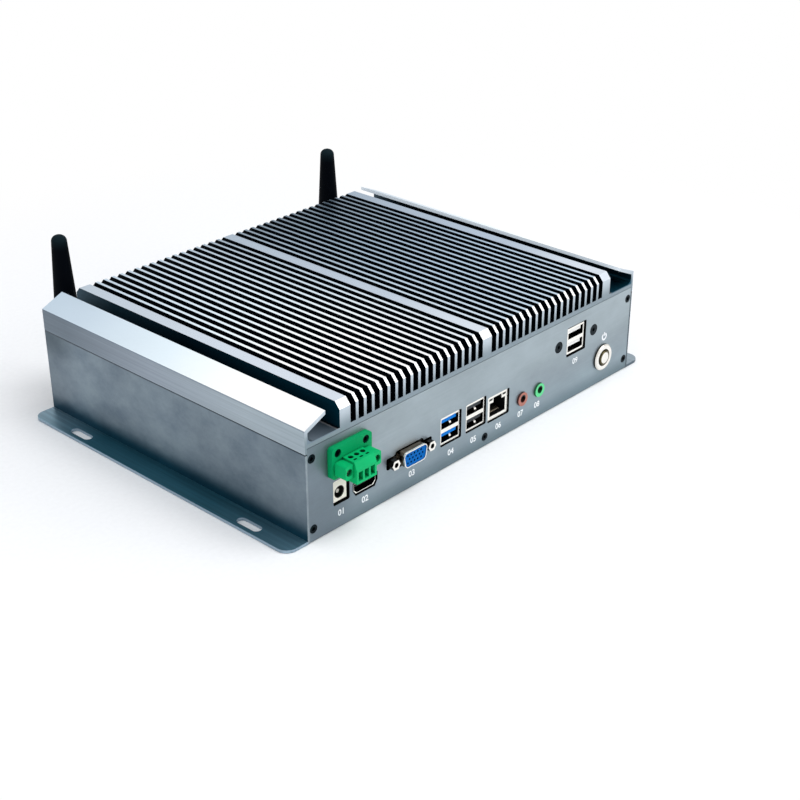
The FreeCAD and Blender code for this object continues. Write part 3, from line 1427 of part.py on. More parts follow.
def antenna(side, x):
    elbow = new_body("antenna_%s_elbow" % side)
    behind = plus("body_depth", "antenna_out", "-1 * elbow_side / 2")
    cube = sketch(elbow, side + "_elbow_block", "XZ", behind)
    outline(cube, around(x, "antenna_z", "elbow_side / 2", "elbow_side / 2"))
    pad(elbow, cube, "elbow_side")
    bevel_edges(elbow, V(0, 1, 0), "elbow_corner", lambda p: p.z < number("antenna_z"))
    ferrule = sketch(elbow, side + "_ferrule", "XZ", "body_depth + 9.1")
    circle(ferrule, x, "antenna_z", "ferrule_radius")
    pad(elbow, ferrule, plus(behind, "-1 * body_depth", "-9.1"))
    head = sketch(elbow, side + "_ferrule_head", "XZ", "body_depth + 9.1")
    circle(head, x, "antenna_z", "2.9")
    pad(elbow, head, "0.8")
    keep("antenna_%s_elbow" % side, elbow)

    rod = new_body("antenna_%s_rod" % side)
    section = sketch(rod, side + "_rod_section", "XZ")
    top = "rod_length - elbow_side / 2"
    outline(section, [
        ("0", "fit_gap"),
        ("rod_neck - 0.5", "fit_gap"),
        ("rod_neck", "0.5"),
        ("rod_neck", "4.4"),
        ("rod_wide - 0.5", "5.4"),
        ("rod_wide", "6.4"),
        ("rod_wide - 0.1", "12"),
        ("rod_tip", top),
        ("0", top),
    ])
    revolve(rod, section)
    base = rod.Tip
    tip = rod.newObject("PartDesign::Fillet", side + "_rod_tip")
    tip.Base = (base, circle_at(rod, top))
    bind(tip, "Radius", "rod_tip - 0.5")
    rod.Tip = tip
    doc.recompute()
    keep("antenna_%s_rod" % side, rod, x, "body_depth + antenna_out", "antenna_z + elbow_side / 2")


for side, x in ANTENNAS.items():
    antenna(side, x)


# Mainboard with its soldered parts


main_card = block(
    "main_card", ("board_x", "board_y", "board_top - board_thick"),
    ("board_side", minus(BOARD_REAR, "board_y"), "board_thick"))
BOARD_HOLES = [
    (x, y)
    for x in ("board_x + board_hole_inset", "board_x + board_side - board_hole_inset")
    for y in ("board_y + board_hole_inset + 20", BOARD_REAR + " - board_hole_inset")
]
drills = []
for index, (x, y) in enumerate(BOARD_HOLES):
    drill_start = (x, y, "board_top - board_thick - 1")
    drills.append(round_bar("board_drill_%d" % index, drill_start, HOLE, "board_thick + 2"))
soldered = [cut("drilled_card", main_card, *drills)]
COIL = "7"
for index in range(4):
    coil_corner = ("cpu_x - 34 + %d * 9" % index, CPU_Y + " - 42", "board_top")
    soldered.append(block("coil_%d" % index, coil_corner, (COIL, COIL, "4")))
for index in range(5):
    can_x = "cpu_x + 10 + %d * 9" % index
    soldered.append(round_bar("capacitor_%d" % index, (can_x, CPU_Y + " - 40", "board_top"), "3.2", "8"))
SOLDERED_BLOCKS = [
    ("radio_socket", ("board_x + 12", BOARD_REAR + " - 40"), ("30", "5", "4")),
    ("sata_socket", ("board_x + 150", "board_y + 60"), ("6", "16", "8")),
    ("pin_header", ("board_x + 60", BOARD_REAR + " - 8"), ("40", "5", "8.5")),
]
for name, place, size in SOLDERED_BLOCKS:
    soldered.append(block(name, place + ("board_top",), size))
soldered.append(round_bar("coin_cell", ("board_x + 24", "board_y + 100", "board_top"), "10", "4.2"))
keep("mainboard", fuse("mainboard_parts", *soldered))

spacer = new_body("board_spacer")
spacer_hex = sketch(spacer, "spacer_hex", "XY")
outline(spacer_hex, hexagon("0", "0", "5"))
circle(spacer_hex, "0", "0", HOLE)
pad(spacer, spacer_hex, "board_top - board_thick - plate_thick")
group("board_spacers", spacer, [(x, y, "plate_thick", "forward") for x, y in BOARD_HOLES])
board_screw = screw("board_screw", "2.7", "1.6", "6")
screw_shapes = []
for x, y in BOARD_HOLES:
    spot = V(number(x), number(y), number("board_top + 1.6 + 0.02"))
    screw_shapes.append(moved(board_screw, FreeCAD.Placement(spot, down)))
board_screws = doc.addObject("Part::Feature", "board_screws_group")
board_screws.Shape = Part.makeCompound(screw_shapes)
keep("board_screws", board_screws)

substrate = block(
    "substrate", ("cpu_x - 18.75", CPU_Y + " - 18.75", "board_top"), ("37.5", "37.5", "substrate_thick"))
lid = block(
    "lid", ("cpu_x - 14", CPU_Y + " - 14", "board_top + substrate_thick"), ("28", "28", "lid_thick"))
keep("processor", fuse("processor_parts", substrate, lid))

heat_block = new_body("heat_block")
PROCESSOR_TOP = "board_top + substrate_thick + lid_thick"
heat_outline = sketch(heat_block, "heat_block_outline", "XY", PROCESSOR_TOP)
outline(heat_outline, around("cpu_x", CPU_Y, "block_side / 2", "block_side / 2"))
pad(heat_block, heat_outline, minus("cover_under - pad_thick", PROCESSOR_TOP))
bevel_edges(heat_block, V(0, 0, 1), "block_corner", lambda p: True)
keep("heat_block", heat_block)
PAD_SIDE = "block_side - 2 * block_corner"
PAD_REACH = "(%s) / 2" % PAD_SIDE
keep("thermal_pad", loose("pad_piece", block(
    "pad_sheet", (minus("cpu_x", PAD_REACH), minus(CPU_Y, PAD_REACH), "cover_under - pad_thick"),
    (PAD_SIDE, PAD_SIDE, "pad_thick"))))



def on_memory(x, y, z):
    """A corner measured from the memory socket's own corner."""
    return ("board_x + 94 + %s" % x, "%s - 44 + %s" % (BOARD_REAR, y), "board_top + %s" % z)


socket_bar = block("socket_bar", on_memory("0", "0", "0"), ("70", "6", "5.2"))
socket_arms = [
    block("socket_arm_%d" % index, on_memory(x, "0", "0"), ("1.1", "24", "3.4"))
    for index, x in enumerate(("0", "68.9"))
]
socket_parts = fuse("memory_socket_parts", socket_bar, *socket_arms)
socket_slot = block("socket_slot", on_memory("1.1", "2.6", "3.35"), ("67.8", "4", "1.3"))
keep("memory_socket", cut("memory_socket_cut", socket_parts, socket_slot))
memory_card = block("memory_card", on_memory("1.2", "2.7", "3.4"), ("67.6", "30", "1.2"))
memory_chips = [
    block("memory_chip_%d" % index, on_memory("6 + %d * 15.5" % index, "12", "4.6"), ("12", "10", "0.9"))
    for index in range(4)
]
keep("memory_module", fuse("memory_module_parts", memory_card, *memory_chips))

radio_board = block(
    "radio_board", ("board_x + 12", BOARD_REAR + " - 37", "board_top + 4"), ("30", "27", "1"))
radio_can = block(
    "radio_can", ("board_x + 15", BOARD_REAR + " - 31", "board_top + 5"), ("24", "14", "1.6"))
keep("radio_card", fuse("radio_card_parts", radio_board, radio_can))


MITRED = 1


def lead(points):
    """A round lead along straight stretches, mitred where it bends."""
    spots = [V(*[number(value) for value in point]) for point in points]
    ring = Part.Wire([Part.makeCircle(number("lead_radius"), spots[0], spots[1] - spots[0])])
    return Part.makePolygon(spots).makePipeShell([ring], True, False, MITRED)


LEAD_START = "board_top + 5.1"
JACK_END = "body_depth - 10 - fit_gap"
LEAD_Y = BOARD_REAR + " + 2"
left_lead = lead([
    ("board_x + 22", BOARD_REAR + " - 15", LEAD_START),
    ("board_x + 22", BOARD_REAR + " - 14.5", "board_top + 9"),
    ("board_x + 21", BOARD_REAR + " - 12", "antenna_z - 6"),
    (plus(ANTENNAS["left"], "2"), BOARD_REAR + " - 6", "antenna_z - 2"),
    (ANTENNAS["left"], LEAD_Y, "antenna_z"),
    (ANTENNAS["left"], JACK_END, "antenna_z"),
])
right_lead = lead([
    ("board_x + 36", BOARD_REAR + " - 15", LEAD_START),
    ("board_x + 36", BOARD_REAR + " - 14.5", "board_top + 9"),
    ("board_x + 39", BOARD_REAR + " - 10", "antenna_z - 6"),
    ("board_x + 48", BOARD_REAR + " - 1", "antenna_z"),
    ("board_x + 62", LEAD_Y, "antenna_z + 3"),
    ("board_x + 90", LEAD_Y, "antenna_z + 4"),
    (minus(ANTENNAS["right"], "60"), LEAD_Y, "antenna_z + 4"),
    (minus(ANTENNAS["right"], "26"), LEAD_Y, "antenna_z + 3"),
    (minus(ANTENNAS["right"], "8"), BOARD_REAR + " + 2.5", "antenna_z + 1"),
    (minus(ANTENNAS["right"], "2"), BOARD_REAR + " + 4", "antenna_z"),
    (ANTENNAS["right"], BOARD_REAR + " + 6", "antenna_z"),
    (ANTENNAS["right"], JACK_END, "antenna_z"),
])
leads = doc.addObject("Part::Feature", "antenna_leads_group")
leads.Shape = Part.makeCompound([left_lead, right_lead])
keep("antenna_leads", leads)


# Drive on its bracket, over the mainboard's right edge


SHELF_RIGHT = "body_width - foot_width - shelf_margin"
LEG_X = "board_x + board_side + leg_margin"
BRACKET_X = minus(LEG_X, "shelf_overhang")
BRACKET_Y = "(body_depth - bracket_rear - bracket_length)"
shelf = block(
    "shelf", (BRACKET_X, BRACKET_Y, "bracket_top - bracket_sheet"),
    (minus(SHELF_RIGHT, BRACKET_X), "bracket_length", "bracket_sheet"))
bracket_pieces = [shelf]
LEGS = [
    ("inner_leg", LEG_X, "0"),
    ("outer_leg", SHELF_RIGHT + " - bracket_sheet", "bracket_sheet - leg_foot"),
]
for name, x, foot_shift in LEGS:
    bracket_pieces.append(block(
        name, (x, BRACKET_Y, "plate_thick"),
        ("bracket_sheet", "bracket_length", "bracket_top - plate_thick")))
    bracket_pieces.append(block(
        name + "_foot", (plus(x, foot_shift), BRACKET_Y, "plate_thick"),
        ("leg_foot", "bracket_length", "bracket_sheet")))
keep("drive_bracket", fuse("bracket_parts", *bracket_pieces))
drive_box = block(
    "drive_box", (minus(SHELF_RIGHT, "drive_width + drive_margin"), BRACKET_Y + " + 2", "bracket_top"),
    ("drive_width", "drive_length", "drive_thick"))
keep("drive", loose("drive_piece", drive_box))


# Check and export


doc.recompute()
for item in doc.Objects:
    if "Invalid" in item.State or "Error" in item.State:
        raise RuntimeError("%s is not up to date: %s" % (item.Label, item.State))

os.makedirs("parts", exist_ok=True)
for label, thing in NODES.items():
    shape = thing.Shape
    if shape.isNull() or not shape.isValid() or not shape.Solids:
        raise RuntimeError("%s has no valid solid" % label)
    shape.exportStep("parts/%s.step" % label)
print("%d pieces written" % len(NODES))
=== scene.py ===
import json
import math

import bmesh
import bpy
from mathutils import Matrix, Vector


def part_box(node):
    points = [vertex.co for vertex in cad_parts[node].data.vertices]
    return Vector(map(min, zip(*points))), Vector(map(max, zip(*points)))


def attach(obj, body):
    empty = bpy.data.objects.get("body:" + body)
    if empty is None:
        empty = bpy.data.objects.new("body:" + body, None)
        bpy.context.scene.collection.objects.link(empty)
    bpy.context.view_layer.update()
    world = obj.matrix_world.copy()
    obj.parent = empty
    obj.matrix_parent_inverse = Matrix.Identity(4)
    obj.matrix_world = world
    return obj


# Photo-like scene of the fanless industrial computer. Metres, in the shared frame:
# +z up through the fins, -y out of the front panel, +x right as seen from the front.

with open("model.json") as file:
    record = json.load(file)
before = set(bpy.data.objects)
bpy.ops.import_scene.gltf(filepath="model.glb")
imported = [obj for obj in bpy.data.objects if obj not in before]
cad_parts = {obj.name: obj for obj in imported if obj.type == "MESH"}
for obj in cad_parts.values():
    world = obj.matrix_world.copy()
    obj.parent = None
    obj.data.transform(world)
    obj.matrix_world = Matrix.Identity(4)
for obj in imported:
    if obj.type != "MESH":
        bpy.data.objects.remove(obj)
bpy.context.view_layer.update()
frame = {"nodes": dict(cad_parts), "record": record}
MM = 0.001
PARTS = frame["nodes"]


def low(node):
    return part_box(node)[0]


def high(node):
    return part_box(node)[1]


def middle(node):
    return (low(node) + high(node)) / 2


PANEL_FACE = low("front_panel").y
REAR_FACE = high("rear_panel").y
CASE_HALF = (REAR_FACE - PANEL_FACE) / 2


# Camera at the photograph's angle


CAMERA_PLACE = Vector((-0.502, -0.5025, 0.3608))
CAMERA_AIM = Vector((-0.0342, -0.0697, 0.03))
CAMERA_LENS = 66.43
SENSOR_WIDTH = 36
camera = bpy.data.objects.new("camera", bpy.data.cameras.new("camera"))
bpy.context.scene.collection.objects.link(camera)
camera.location = CAMERA_PLACE
camera.rotation_euler = (CAMERA_AIM - CAMERA_PLACE).to_track_quat("-Z", "Y").to_euler()
camera.data.sensor_width = SENSOR_WIDTH
camera.data.lens = CAMERA_LENS
camera.data.clip_start = 0.01
camera.data.clip_end = 20
bpy.context.scene.camera = camera
bpy.context.scene.view_settings.view_transform = "Standard"


# Materials


# Sockets of a mix node that mixes colours
MIX_FACTOR, MIX_FIRST, MIX_SECOND, MIX_RESULT = 0, 6, 7, 2
BUMP_DEPTH = 0.1 * MM


class Nodes:
    """A short way to write a node material."""

    def __init__(self, name):
        self.material = bpy.data.materials.new(name)
        self.material.use_nodes = True
        self.tree = self.material.node_tree
        self.shader = self.tree.nodes["Principled BSDF"]
        texture = self.add("ShaderNodeTexCoord")
        self.place = texture.outputs["Object"]
        self.normal = texture.outputs["Normal"]

    def add(self, kind):
        return self.tree.nodes.new(kind)

    def link(self, source, target):
        self.tree.links.new(source, target)

    def feed(self, name, source):
        """Links an output to the named socket of the shader."""
        self.link(source, self.shader.inputs[name])

    def put(self, value, socket):
        """Links a socket to another node's output, or sets it to a colour or a number."""
        if hasattr(value, "is_output"):
            self.link(value, socket)
        elif isinstance(value, tuple):
            socket.default_value = (*value, 1.0)
        else:
            socket.default_value = value

    def stretched(self, scale):
        mapping = self.add("ShaderNodeMapping")
        mapping.inputs["Scale"].default_value = scale
        self.link(self.place, mapping.inputs["Vector"])
        return mapping.outputs["Vector"]

    def noise(self, vector, scale, detail=3.0, rough=0.55):
        node = self.add("ShaderNodeTexNoise")
        node.inputs["Scale"].default_value = scale
        node.inputs["Detail"].default_value = detail
        node.inputs["Roughness"].default_value = rough
        self.link(vector, node.inputs["Vector"])
        return node.outputs["Fac"]

    def ramp(self, value, stops):
        node = self.add("ShaderNodeValToRGB")
        ramp = node.color_ramp
        while len(ramp.elements) < len(stops):
            ramp.elements.new(0.5)
        for element, (place, colour) in zip(ramp.elements, stops):
            element.position = place
            element.color = (*colour, 1.0)
        self.link(value, node.inputs["Fac"])
        return node.outputs["Color"]

    def grey_ramp(self, value, stops):
        return self.ramp(value, [(place, (grey, grey, grey)) for place, grey in stops])

    def mixed(self, factor, first, second, kind="MIX"):
        node = self.add("ShaderNodeMix")
        node.data_type = "RGBA"
        node.blend_type = kind
        for index, value in ((MIX_FACTOR, factor), (MIX_FIRST, first), (MIX_SECOND, second)):
            self.put(value, node.inputs[index])
        return node.outputs[MIX_RESULT]

    def product(self, first, second):
        """Two colours, multiplied."""
        return self.mixed(1.0, first, second, "MULTIPLY")

    def tinted(self, mask, colour, tint):
        """The colour, multiplied by the tint where the mask is 1."""
        return self.mixed(mask, colour, self.product(colour, tint))

    def math(self, operation, first, second=0.0, third=0.0):
        node = self.add("ShaderNodeMath")
        node.operation = operation
        for socket, value in zip(node.inputs, (first, second, third)):
            self.put(value, socket)
        return node.outputs[0]

    def step(self, value, start, end):
        """Rises from 0 to 1 between start and end, or falls if end is the smaller one."""
        node = self.add("ShaderNodeMapRange")
        node.interpolation_type = "SMOOTHSTEP"
        first, last = sorted((start, end))
        node.inputs["From Min"].default_value = first
        node.inputs["From Max"].default_value = last
        node.inputs["To Min"].default_value = 0.0 if start < end else 1.0
        node.inputs["To Max"].default_value = 1.0 if start < end else 0.0
        self.link(value, node.inputs["Value"])
        return node.outputs["Result"]

    def axes(self, vector, wanted="XYZ"):
        """The wanted coordinates of a vector."""
        node = self.add("ShaderNodeSeparateXYZ")
        self.link(vector, node.inputs[0])
        return [node.outputs[axis] for axis in wanted]

    def distance(self, across, up, centre=(0.0, 0.0)):
        """The distance in a plane from a centre."""
        squares = [self.math("POWER", self.math("SUBTRACT", value, origin), 2.0)
                   for value, origin in zip((across, up), centre)]
        return self.math("SQRT", self.math("ADD", *squares))

    def times(self, *values):
        """The product of several values, such as masks."""
        result = values[0]
        for value in values[1:]:
            result = self.math("MULTIPLY", result, value)
        return result

    def between(self, value, start, end, soft):
        """1 between start and end, with a soft border inside each."""
        return self.times(self.step(value, start, start + soft), self.step(value, end, end - soft))

    def cavity(self, reach, shut=0.25, open_at=0.7):
        """0 deep in a hole or slot, 1 in the open."""
        node = self.add("ShaderNodeAmbientOcclusion")
        node.samples = 6
        node.inputs["Distance"].default_value = reach
        return self.step(node.outputs["AO"], shut, open_at)

    def bump(self, height, strength):
        node = self.add("ShaderNodeBump")
        node.inputs["Strength"].default_value = strength
        node.inputs["Distance"].default_value = BUMP_DEPTH
        self.link(height, node.inputs["Height"])
        self.feed("Normal", node.outputs["Normal"])


def scaled(colour, factor):
    return tuple(min(1.0, channel * factor) for channel in colour)


def brushed(name, colour, rough, grain, spread=0.12, cloud=0.08):
    """Metal with fine grain along one axis; grain is the stretch of the texture on x, y and z."""
    net = Nodes(name)
    streak = net.noise(net.stretched(grain), 1.0, 4.0, 0.6)
    patch = net.noise(net.place, 22.0, 3.0)
    shade = net.ramp(streak, [(0.25, scaled(colour, 1 - spread)), (0.75, scaled(colour, 1 + spread))])
    cloudy = net.grey_ramp(patch, [(0.3, 1 - cloud), (0.7, 1.0)])
    net.feed("Base Color", net.product(shade, cloudy))
    net.feed("Roughness", net.grey_ramp(streak, [(0.2, rough - 0.06), (0.8, rough + 0.08)]))
    net.shader.inputs["Metallic"].default_value = 1.0
    net.bump(streak, 0.08)
    return net.material


def moulded(name, colour, rough=0.42, spread=0.06, coat=0.0, shine=0.5, hole=(0.002, 0.002, 0.002),
            reach=1.5 * MM):
    """Moulded plastic with a fine texture, slight colour variation, and painted shade of the colour hole
    in its hollows.
    """
    net = Nodes(name)
    fine = net.noise(net.place, 900.0, 2.0)
    patch = net.noise(net.place, 60.0, 3.0)
    shade = net.ramp(patch, [(0.3, scaled(colour, 1 - spread)), (0.7, scaled(colour, 1 + spread))])
    # Painted shade: hollows found by ambient occlusion take the colour hole.
    net.feed("Base Color", net.mixed(net.cavity(reach), hole, shade))
    net.feed("Roughness", net.grey_ramp(fine, [(0.3, rough - 0.05), (0.7, rough + 0.07)]))
    net.shader.inputs["Coat Weight"].default_value = coat
    net.shader.inputs["Specular IOR Level"].default_value = shine
    net.bump(fine, 0.12)
    return net.material


END_BLEND = 0.3 * MM
LIP_BLEND = 0.1 * MM
RING_BLEND = 0.05 * MM
IN_PANEL = (CASE_HALF - 1.6 * MM, CASE_HALF - 0.2 * MM)


def end_lit(name, bright, sides, edge, rough=0.25, metal=1.0, spread=0.06, inner=(0.004, 0.004, 0.004),
            ring=None, lip=None, trim=None):
    """Small port part: a painted highlight where it faces out past edge, painted shade of the colour sides
    on its sides, and painted shadow inside the case.

    A ring is (centre, inner radius, outer radius, colour), around an axis along y.
    Past lip the sides get the painted highlight too.
    Trim is (lowest corner, highest corner, width) of a face whose border is in shadow."""
    net = Nodes(name)
    x, y, z = net.axes(net.place)
    facing = net.math("ABSOLUTE", net.axes(net.normal, "Y")[0])
    out = net.math("ABSOLUTE", y)
    marks = net.noise(net.stretched((160.0, 600.0, 160.0)), 1.0, 3.0, 0.6)
    # Painted highlight on faces that look out past edge, painted shade on the sides, and painted shadow
    # inside the case.
    front = net.times(net.step(facing, 0.55, 0.85), net.step(out, edge, edge + END_BLEND))
    side_shade = net.ramp(marks, [(0.35, scaled(sides, 0.6)), (0.65, scaled(sides, 1.5))])
    shade = net.mixed(net.step(out, *IN_PANEL), inner, side_shade)
    if lip:
        front = net.math("MAXIMUM", front, net.step(out, lip, lip + LIP_BLEND))
    shade = net.mixed(front, shade, net.ramp(marks, [(0.3, scaled(bright, 1 - spread)), (0.7, bright)]))
    if trim:
        near, far, width = trim
        border = width - LIP_BLEND
        kept = net.times(net.between(x, near.x + border, far.x - border, LIP_BLEND),
                         net.between(z, near.z + border, far.z - border, LIP_BLEND))
        shade = net.mixed(kept, inner, shade)
    if ring:
        centre, ring_in, ring_out, ring_colour = ring
        radius = net.distance(x, z, (centre.x, centre.z))
        on_ring = net.between(radius, ring_in - RING_BLEND, ring_out + RING_BLEND, RING_BLEND)
        shade = net.mixed(on_ring, shade, ring_colour)
    net.feed("Base Color", shade)
    net.feed("Roughness", net.grey_ramp(marks, [(0.3, rough - 0.05), (0.75, rough + 0.1)]))
    net.shader.inputs["Metallic"].default_value = metal
    net.bump(marks, 0.05)
    return net.material


def polished(name, colour, rough=0.2, spread=0.05):
    """Plated or turned metal with faint handling marks."""
    net = Nodes(name)
    marks = net.noise(net.place, 350.0, 4.0, 0.7)
    shade = net.ramp(marks, [(0.3, scaled(colour, 1 - spread)), (0.7, scaled(colour, 1 + spread))])
    net.feed("Base Color", shade)
    net.feed("Roughness", net.grey_ramp(marks, [(0.3, rough - 0.05), (0.75, rough + 0.1)]))
    net.shader.inputs["Metallic"].default_value = 1.0
    net.bump(marks, 0.05)
    return net.material


# Roughness of hollows, as a grey
DULL = (0.8, 0.8, 0.8)


def along(net, y):
    """0 at the rear end of the case and 1 at its front end."""
    return net.math("MULTIPLY_ADD", y, -0.5 / CASE_HALF, 0.5)


# Borders of the cover's zones of painted light and shade. A zone starts to show at the first place and is
# full at the second.
# These are distances from the middle plane:
CENTRE_RIB = (4.0 * MM, 3.5 * MM)
OUTER_RIB_START = (93.8 * MM, 94.2 * MM)
OUTER_RIB_END = (101.6 * MM, 101.2 * MM)
RIB_FACE_START = (100.4 * MM, 100.8 * MM)
RIB_FACE_END = (101.8 * MM, 101.4 * MM)
FIN_FIELD = (103.5 * MM, 102.0 * MM)
BESIDE_FINS = (102.0 * MM, 103.5 * MM)
NOSE_START = (108.5 * MM, 109.0 * MM)
NOSE_END = (112.0 * MM, 111.0 * MM)
INNER_LIP = (115.0 * MM, 118.0 * MM)
WITHIN_LIPS = (121.5 * MM, 120.7 * MM)
SIDE_FACE = (122.2 * MM, 122.4 * MM)
# These are places from left to right, and from the middle of the case to its ends:
TOWARDS_RIGHT = (-60.0 * MM, 40.0 * MM)
RIGHT_HALF = (-10.0 * MM, 10.0 * MM)
END_SLOPE = (92.4 * MM, 92.9 * MM)
# These are heights:
FROM_FLOOR = (50.0 * MM, 50.7 * MM)
NEAR_FLOOR = (56.0 * MM, 51.5 * MM)
UNDER_BEVEL = (56.6 * MM, 57.1 * MM)
NOSE_HEIGHT = (59.0 * MM, 60.0 * MM)
END_FACES = (50.0 * MM, 60.0 * MM)


def fin_metal():
    """Extruded cover with painted light and shade: bright tips and bevels as painted highlights, satin
    sides, and near-black hollows between the fins as painted shadow.
    """
    net = Nodes("fin_metal")
    x, y, z = net.axes(net.place)
    facing_side, facing_up = net.axes(net.normal, "XZ")
    side = net.math("ABSOLUTE", x)
    steep = net.step(net.math("ABSOLUTE", facing_side), 0.55, 0.8)
    flat = net.step(facing_up, 0.3, 0.75)
    forward = along(net, y)
    from_floor = net.step(z, *FROM_FLOOR)
    near_floor = net.step(z, *NEAR_FLOOR)
    finned = net.times(net.step(side, *FIN_FIELD), from_floor)
    channel = net.times(net.step(side, *WITHIN_LIPS), from_floor)
    hollow = net.times(finned, net.math("MAXIMUM", steep, net.times(flat, near_floor)))
    under_lip = net.times(channel, net.step(facing_up, -0.05, -0.3))
    channel_floor = net.times(channel, near_floor, net.step(side, *BESIDE_FINS))
    at_rib_face = net.times(net.step(side, *RIB_FACE_END), net.step(side, *RIB_FACE_START))
    rib_side = net.times(at_rib_face, steep, from_floor)
    inner_lip = net.times(net.step(side, *INNER_LIP), channel, steep)
    across_nose = net.times(net.step(side, *NOSE_START), net.step(side, *NOSE_END))
    nose = net.times(across_nose, net.step(z, *NOSE_HEIGHT), steep)
    within_ribs = net.step(side, *OUTER_RIB_END)
    outer_rib = net.times(net.step(side, *OUTER_RIB_START), within_ribs)
    rib = net.math("MAXIMUM", net.step(side, *CENTRE_RIB), outer_rib)
    right_rib = net.step(x, *OUTER_RIB_START)
    end_slope = net.times(net.step(net.math("ABSOLUTE", y), *END_SLOPE), within_ribs)
    to_right = net.times(net.step(x, *TOWARDS_RIGHT), within_ribs)
    edge_line = net.times(steep, net.step(side, *SIDE_FACE), net.step(z, *UNDER_BEVEL), 0.55)

    # Painted light on the tops: brighter towards the front, darker on the right half and on the right
    # outer rib, and white on the end slopes.
    left_fins = net.ramp(forward, [
        (0.00, (0.54, 0.65, 0.75)), (0.16, (0.60, 0.71, 0.81)), (0.48, (0.80, 0.91, 0.98)),
        (0.66, (0.95, 1.00, 1.00)), (0.80, (1.00, 1.00, 1.00))])
    right_fins = net.ramp(forward, [
        (0.00, (0.13, 0.19, 0.25)), (0.30, (0.26, 0.36, 0.46)), (0.65, (0.42, 0.55, 0.68)),
        (1.00, (0.55, 0.68, 0.80))])
    rib_top = net.ramp(forward, [
        (0.00, (0.48, 0.56, 0.64)), (0.50, (0.60, 0.67, 0.76)), (1.00, (0.66, 0.72, 0.80))])
    upper = net.mixed(rib, net.mixed(to_right, left_fins, right_fins), rib_top)
    upper = net.tinted(net.times(rib, to_right, net.step(forward, 0.95, 0.60)), upper, (0.66, 0.72, 0.78))
    upper = net.mixed(end_slope, upper, net.mixed(right_rib, (1.00, 1.00, 1.00), (0.66, 0.71, 0.78)))
    # Painted light and shade on the skirt, the end faces, the rib sides, the inner lips and the channel
    # floors, changing along the case.
    skirt = net.ramp(forward, [
        (0.10, (0.158, 0.198, 0.240)), (0.45, (0.31, 0.36, 0.42)), (0.80, (0.39, 0.455, 0.50)),
        (1.00, (0.37, 0.44, 0.485))])
    ends = net.mixed(net.step(z, *END_FACES), (0.25, 0.31, 0.35), (0.56, 0.63, 0.69))
    shadow = net.ramp(forward, [
        (0.00, (0.08, 0.13, 0.17)), (0.16, (0.010, 0.034, 0.052)), (0.45, (0.0004, 0.010, 0.019)),
        (1.00, (0.0008, 0.034, 0.058))])
    right_floor = net.ramp(forward, [
        (0.30, (0.0008, 0.016, 0.030)), (0.85, (0.002, 0.052, 0.090)), (1.00, (0.007, 0.080, 0.130))])
    left_floor = net.ramp(forward, [
        (0.60, (0.01, 0.02, 0.03)), (0.93, (0.07, 0.105, 0.14)), (1.00, (0.20, 0.26, 0.32))])
    floor_shade = net.mixed(net.step(x, *RIGHT_HALF), left_floor, right_floor)

    shade = net.mixed(flat, net.mixed(steep, ends, skirt), upper)
    shade = net.mixed(channel_floor, shade, floor_shade)
    # Painted shadow in the hollows, on the rib sides, on the inner lips and under the lips; a painted
    # highlight on the noses, and a painted shade line at the top of the side face.
    shade = net.mixed(hollow, shade, (0.0006, 0.003, 0.007))
    shade = net.mixed(rib_side, shade, shadow)
    shade = net.mixed(inner_lip, shade, shadow)
    shade = net.mixed(nose, shade, (0.90, 0.96, 1.00))
    shade = net.mixed(edge_line, shade, (0.12, 0.17, 0.23))
    shade = net.mixed(under_lip, shade, (0.0006, 0.004, 0.008))
    streak = net.noise(net.stretched((2200.0, 14.0, 2200.0)), 1.0, 3.0, 0.55)
    soft = net.noise(net.stretched((30.0, 14.0, 30.0)), 1.0, 4.0, 0.6)
    shade = net.tinted(net.times(steep, 0.9), shade, net.grey_ramp(streak, [(0.3, 0.84), (0.7, 1.08)]))
    shade = net.product(shade, net.grey_ramp(soft, [(0.3, 0.96), (0.6, 1.0)]))
    net.feed("Base Color", shade)
    dark = net.math("MAXIMUM", hollow, under_lip)
    satin = net.grey_ramp(streak, [(0.2, 0.32), (0.8, 0.40)])
    net.feed("Roughness", net.mixed(dark, satin, DULL))
    net.feed("Metallic", net.math("MULTIPLY_ADD", nose, -0.8, 0.8))
    # The noses glow a little, as painted light.
    net.shader.inputs["Emission Color"].default_value = (0.72, 0.86, 1.0, 1.0)
    net.feed("Emission Strength", net.times(nose, 0.20))
    net.feed("Specular IOR Level", net.math("MULTIPLY_ADD", dark, -0.25, 0.25))
    net.bump(streak, 0.03)
    return net.material


# Borders of the case's zones of painted light and shade: heights, and the distance from the middle plane
# where the ears start
WALL_FOOT = (3.0 * MM, 11.5 * MM)
WALL_UPPER = (28.0 * MM, 43.0 * MM)
WALL_TOP_LINE = (44.8 * MM, 45.4 * MM)
EAR_START = (122.50 * MM, 122.56 * MM)


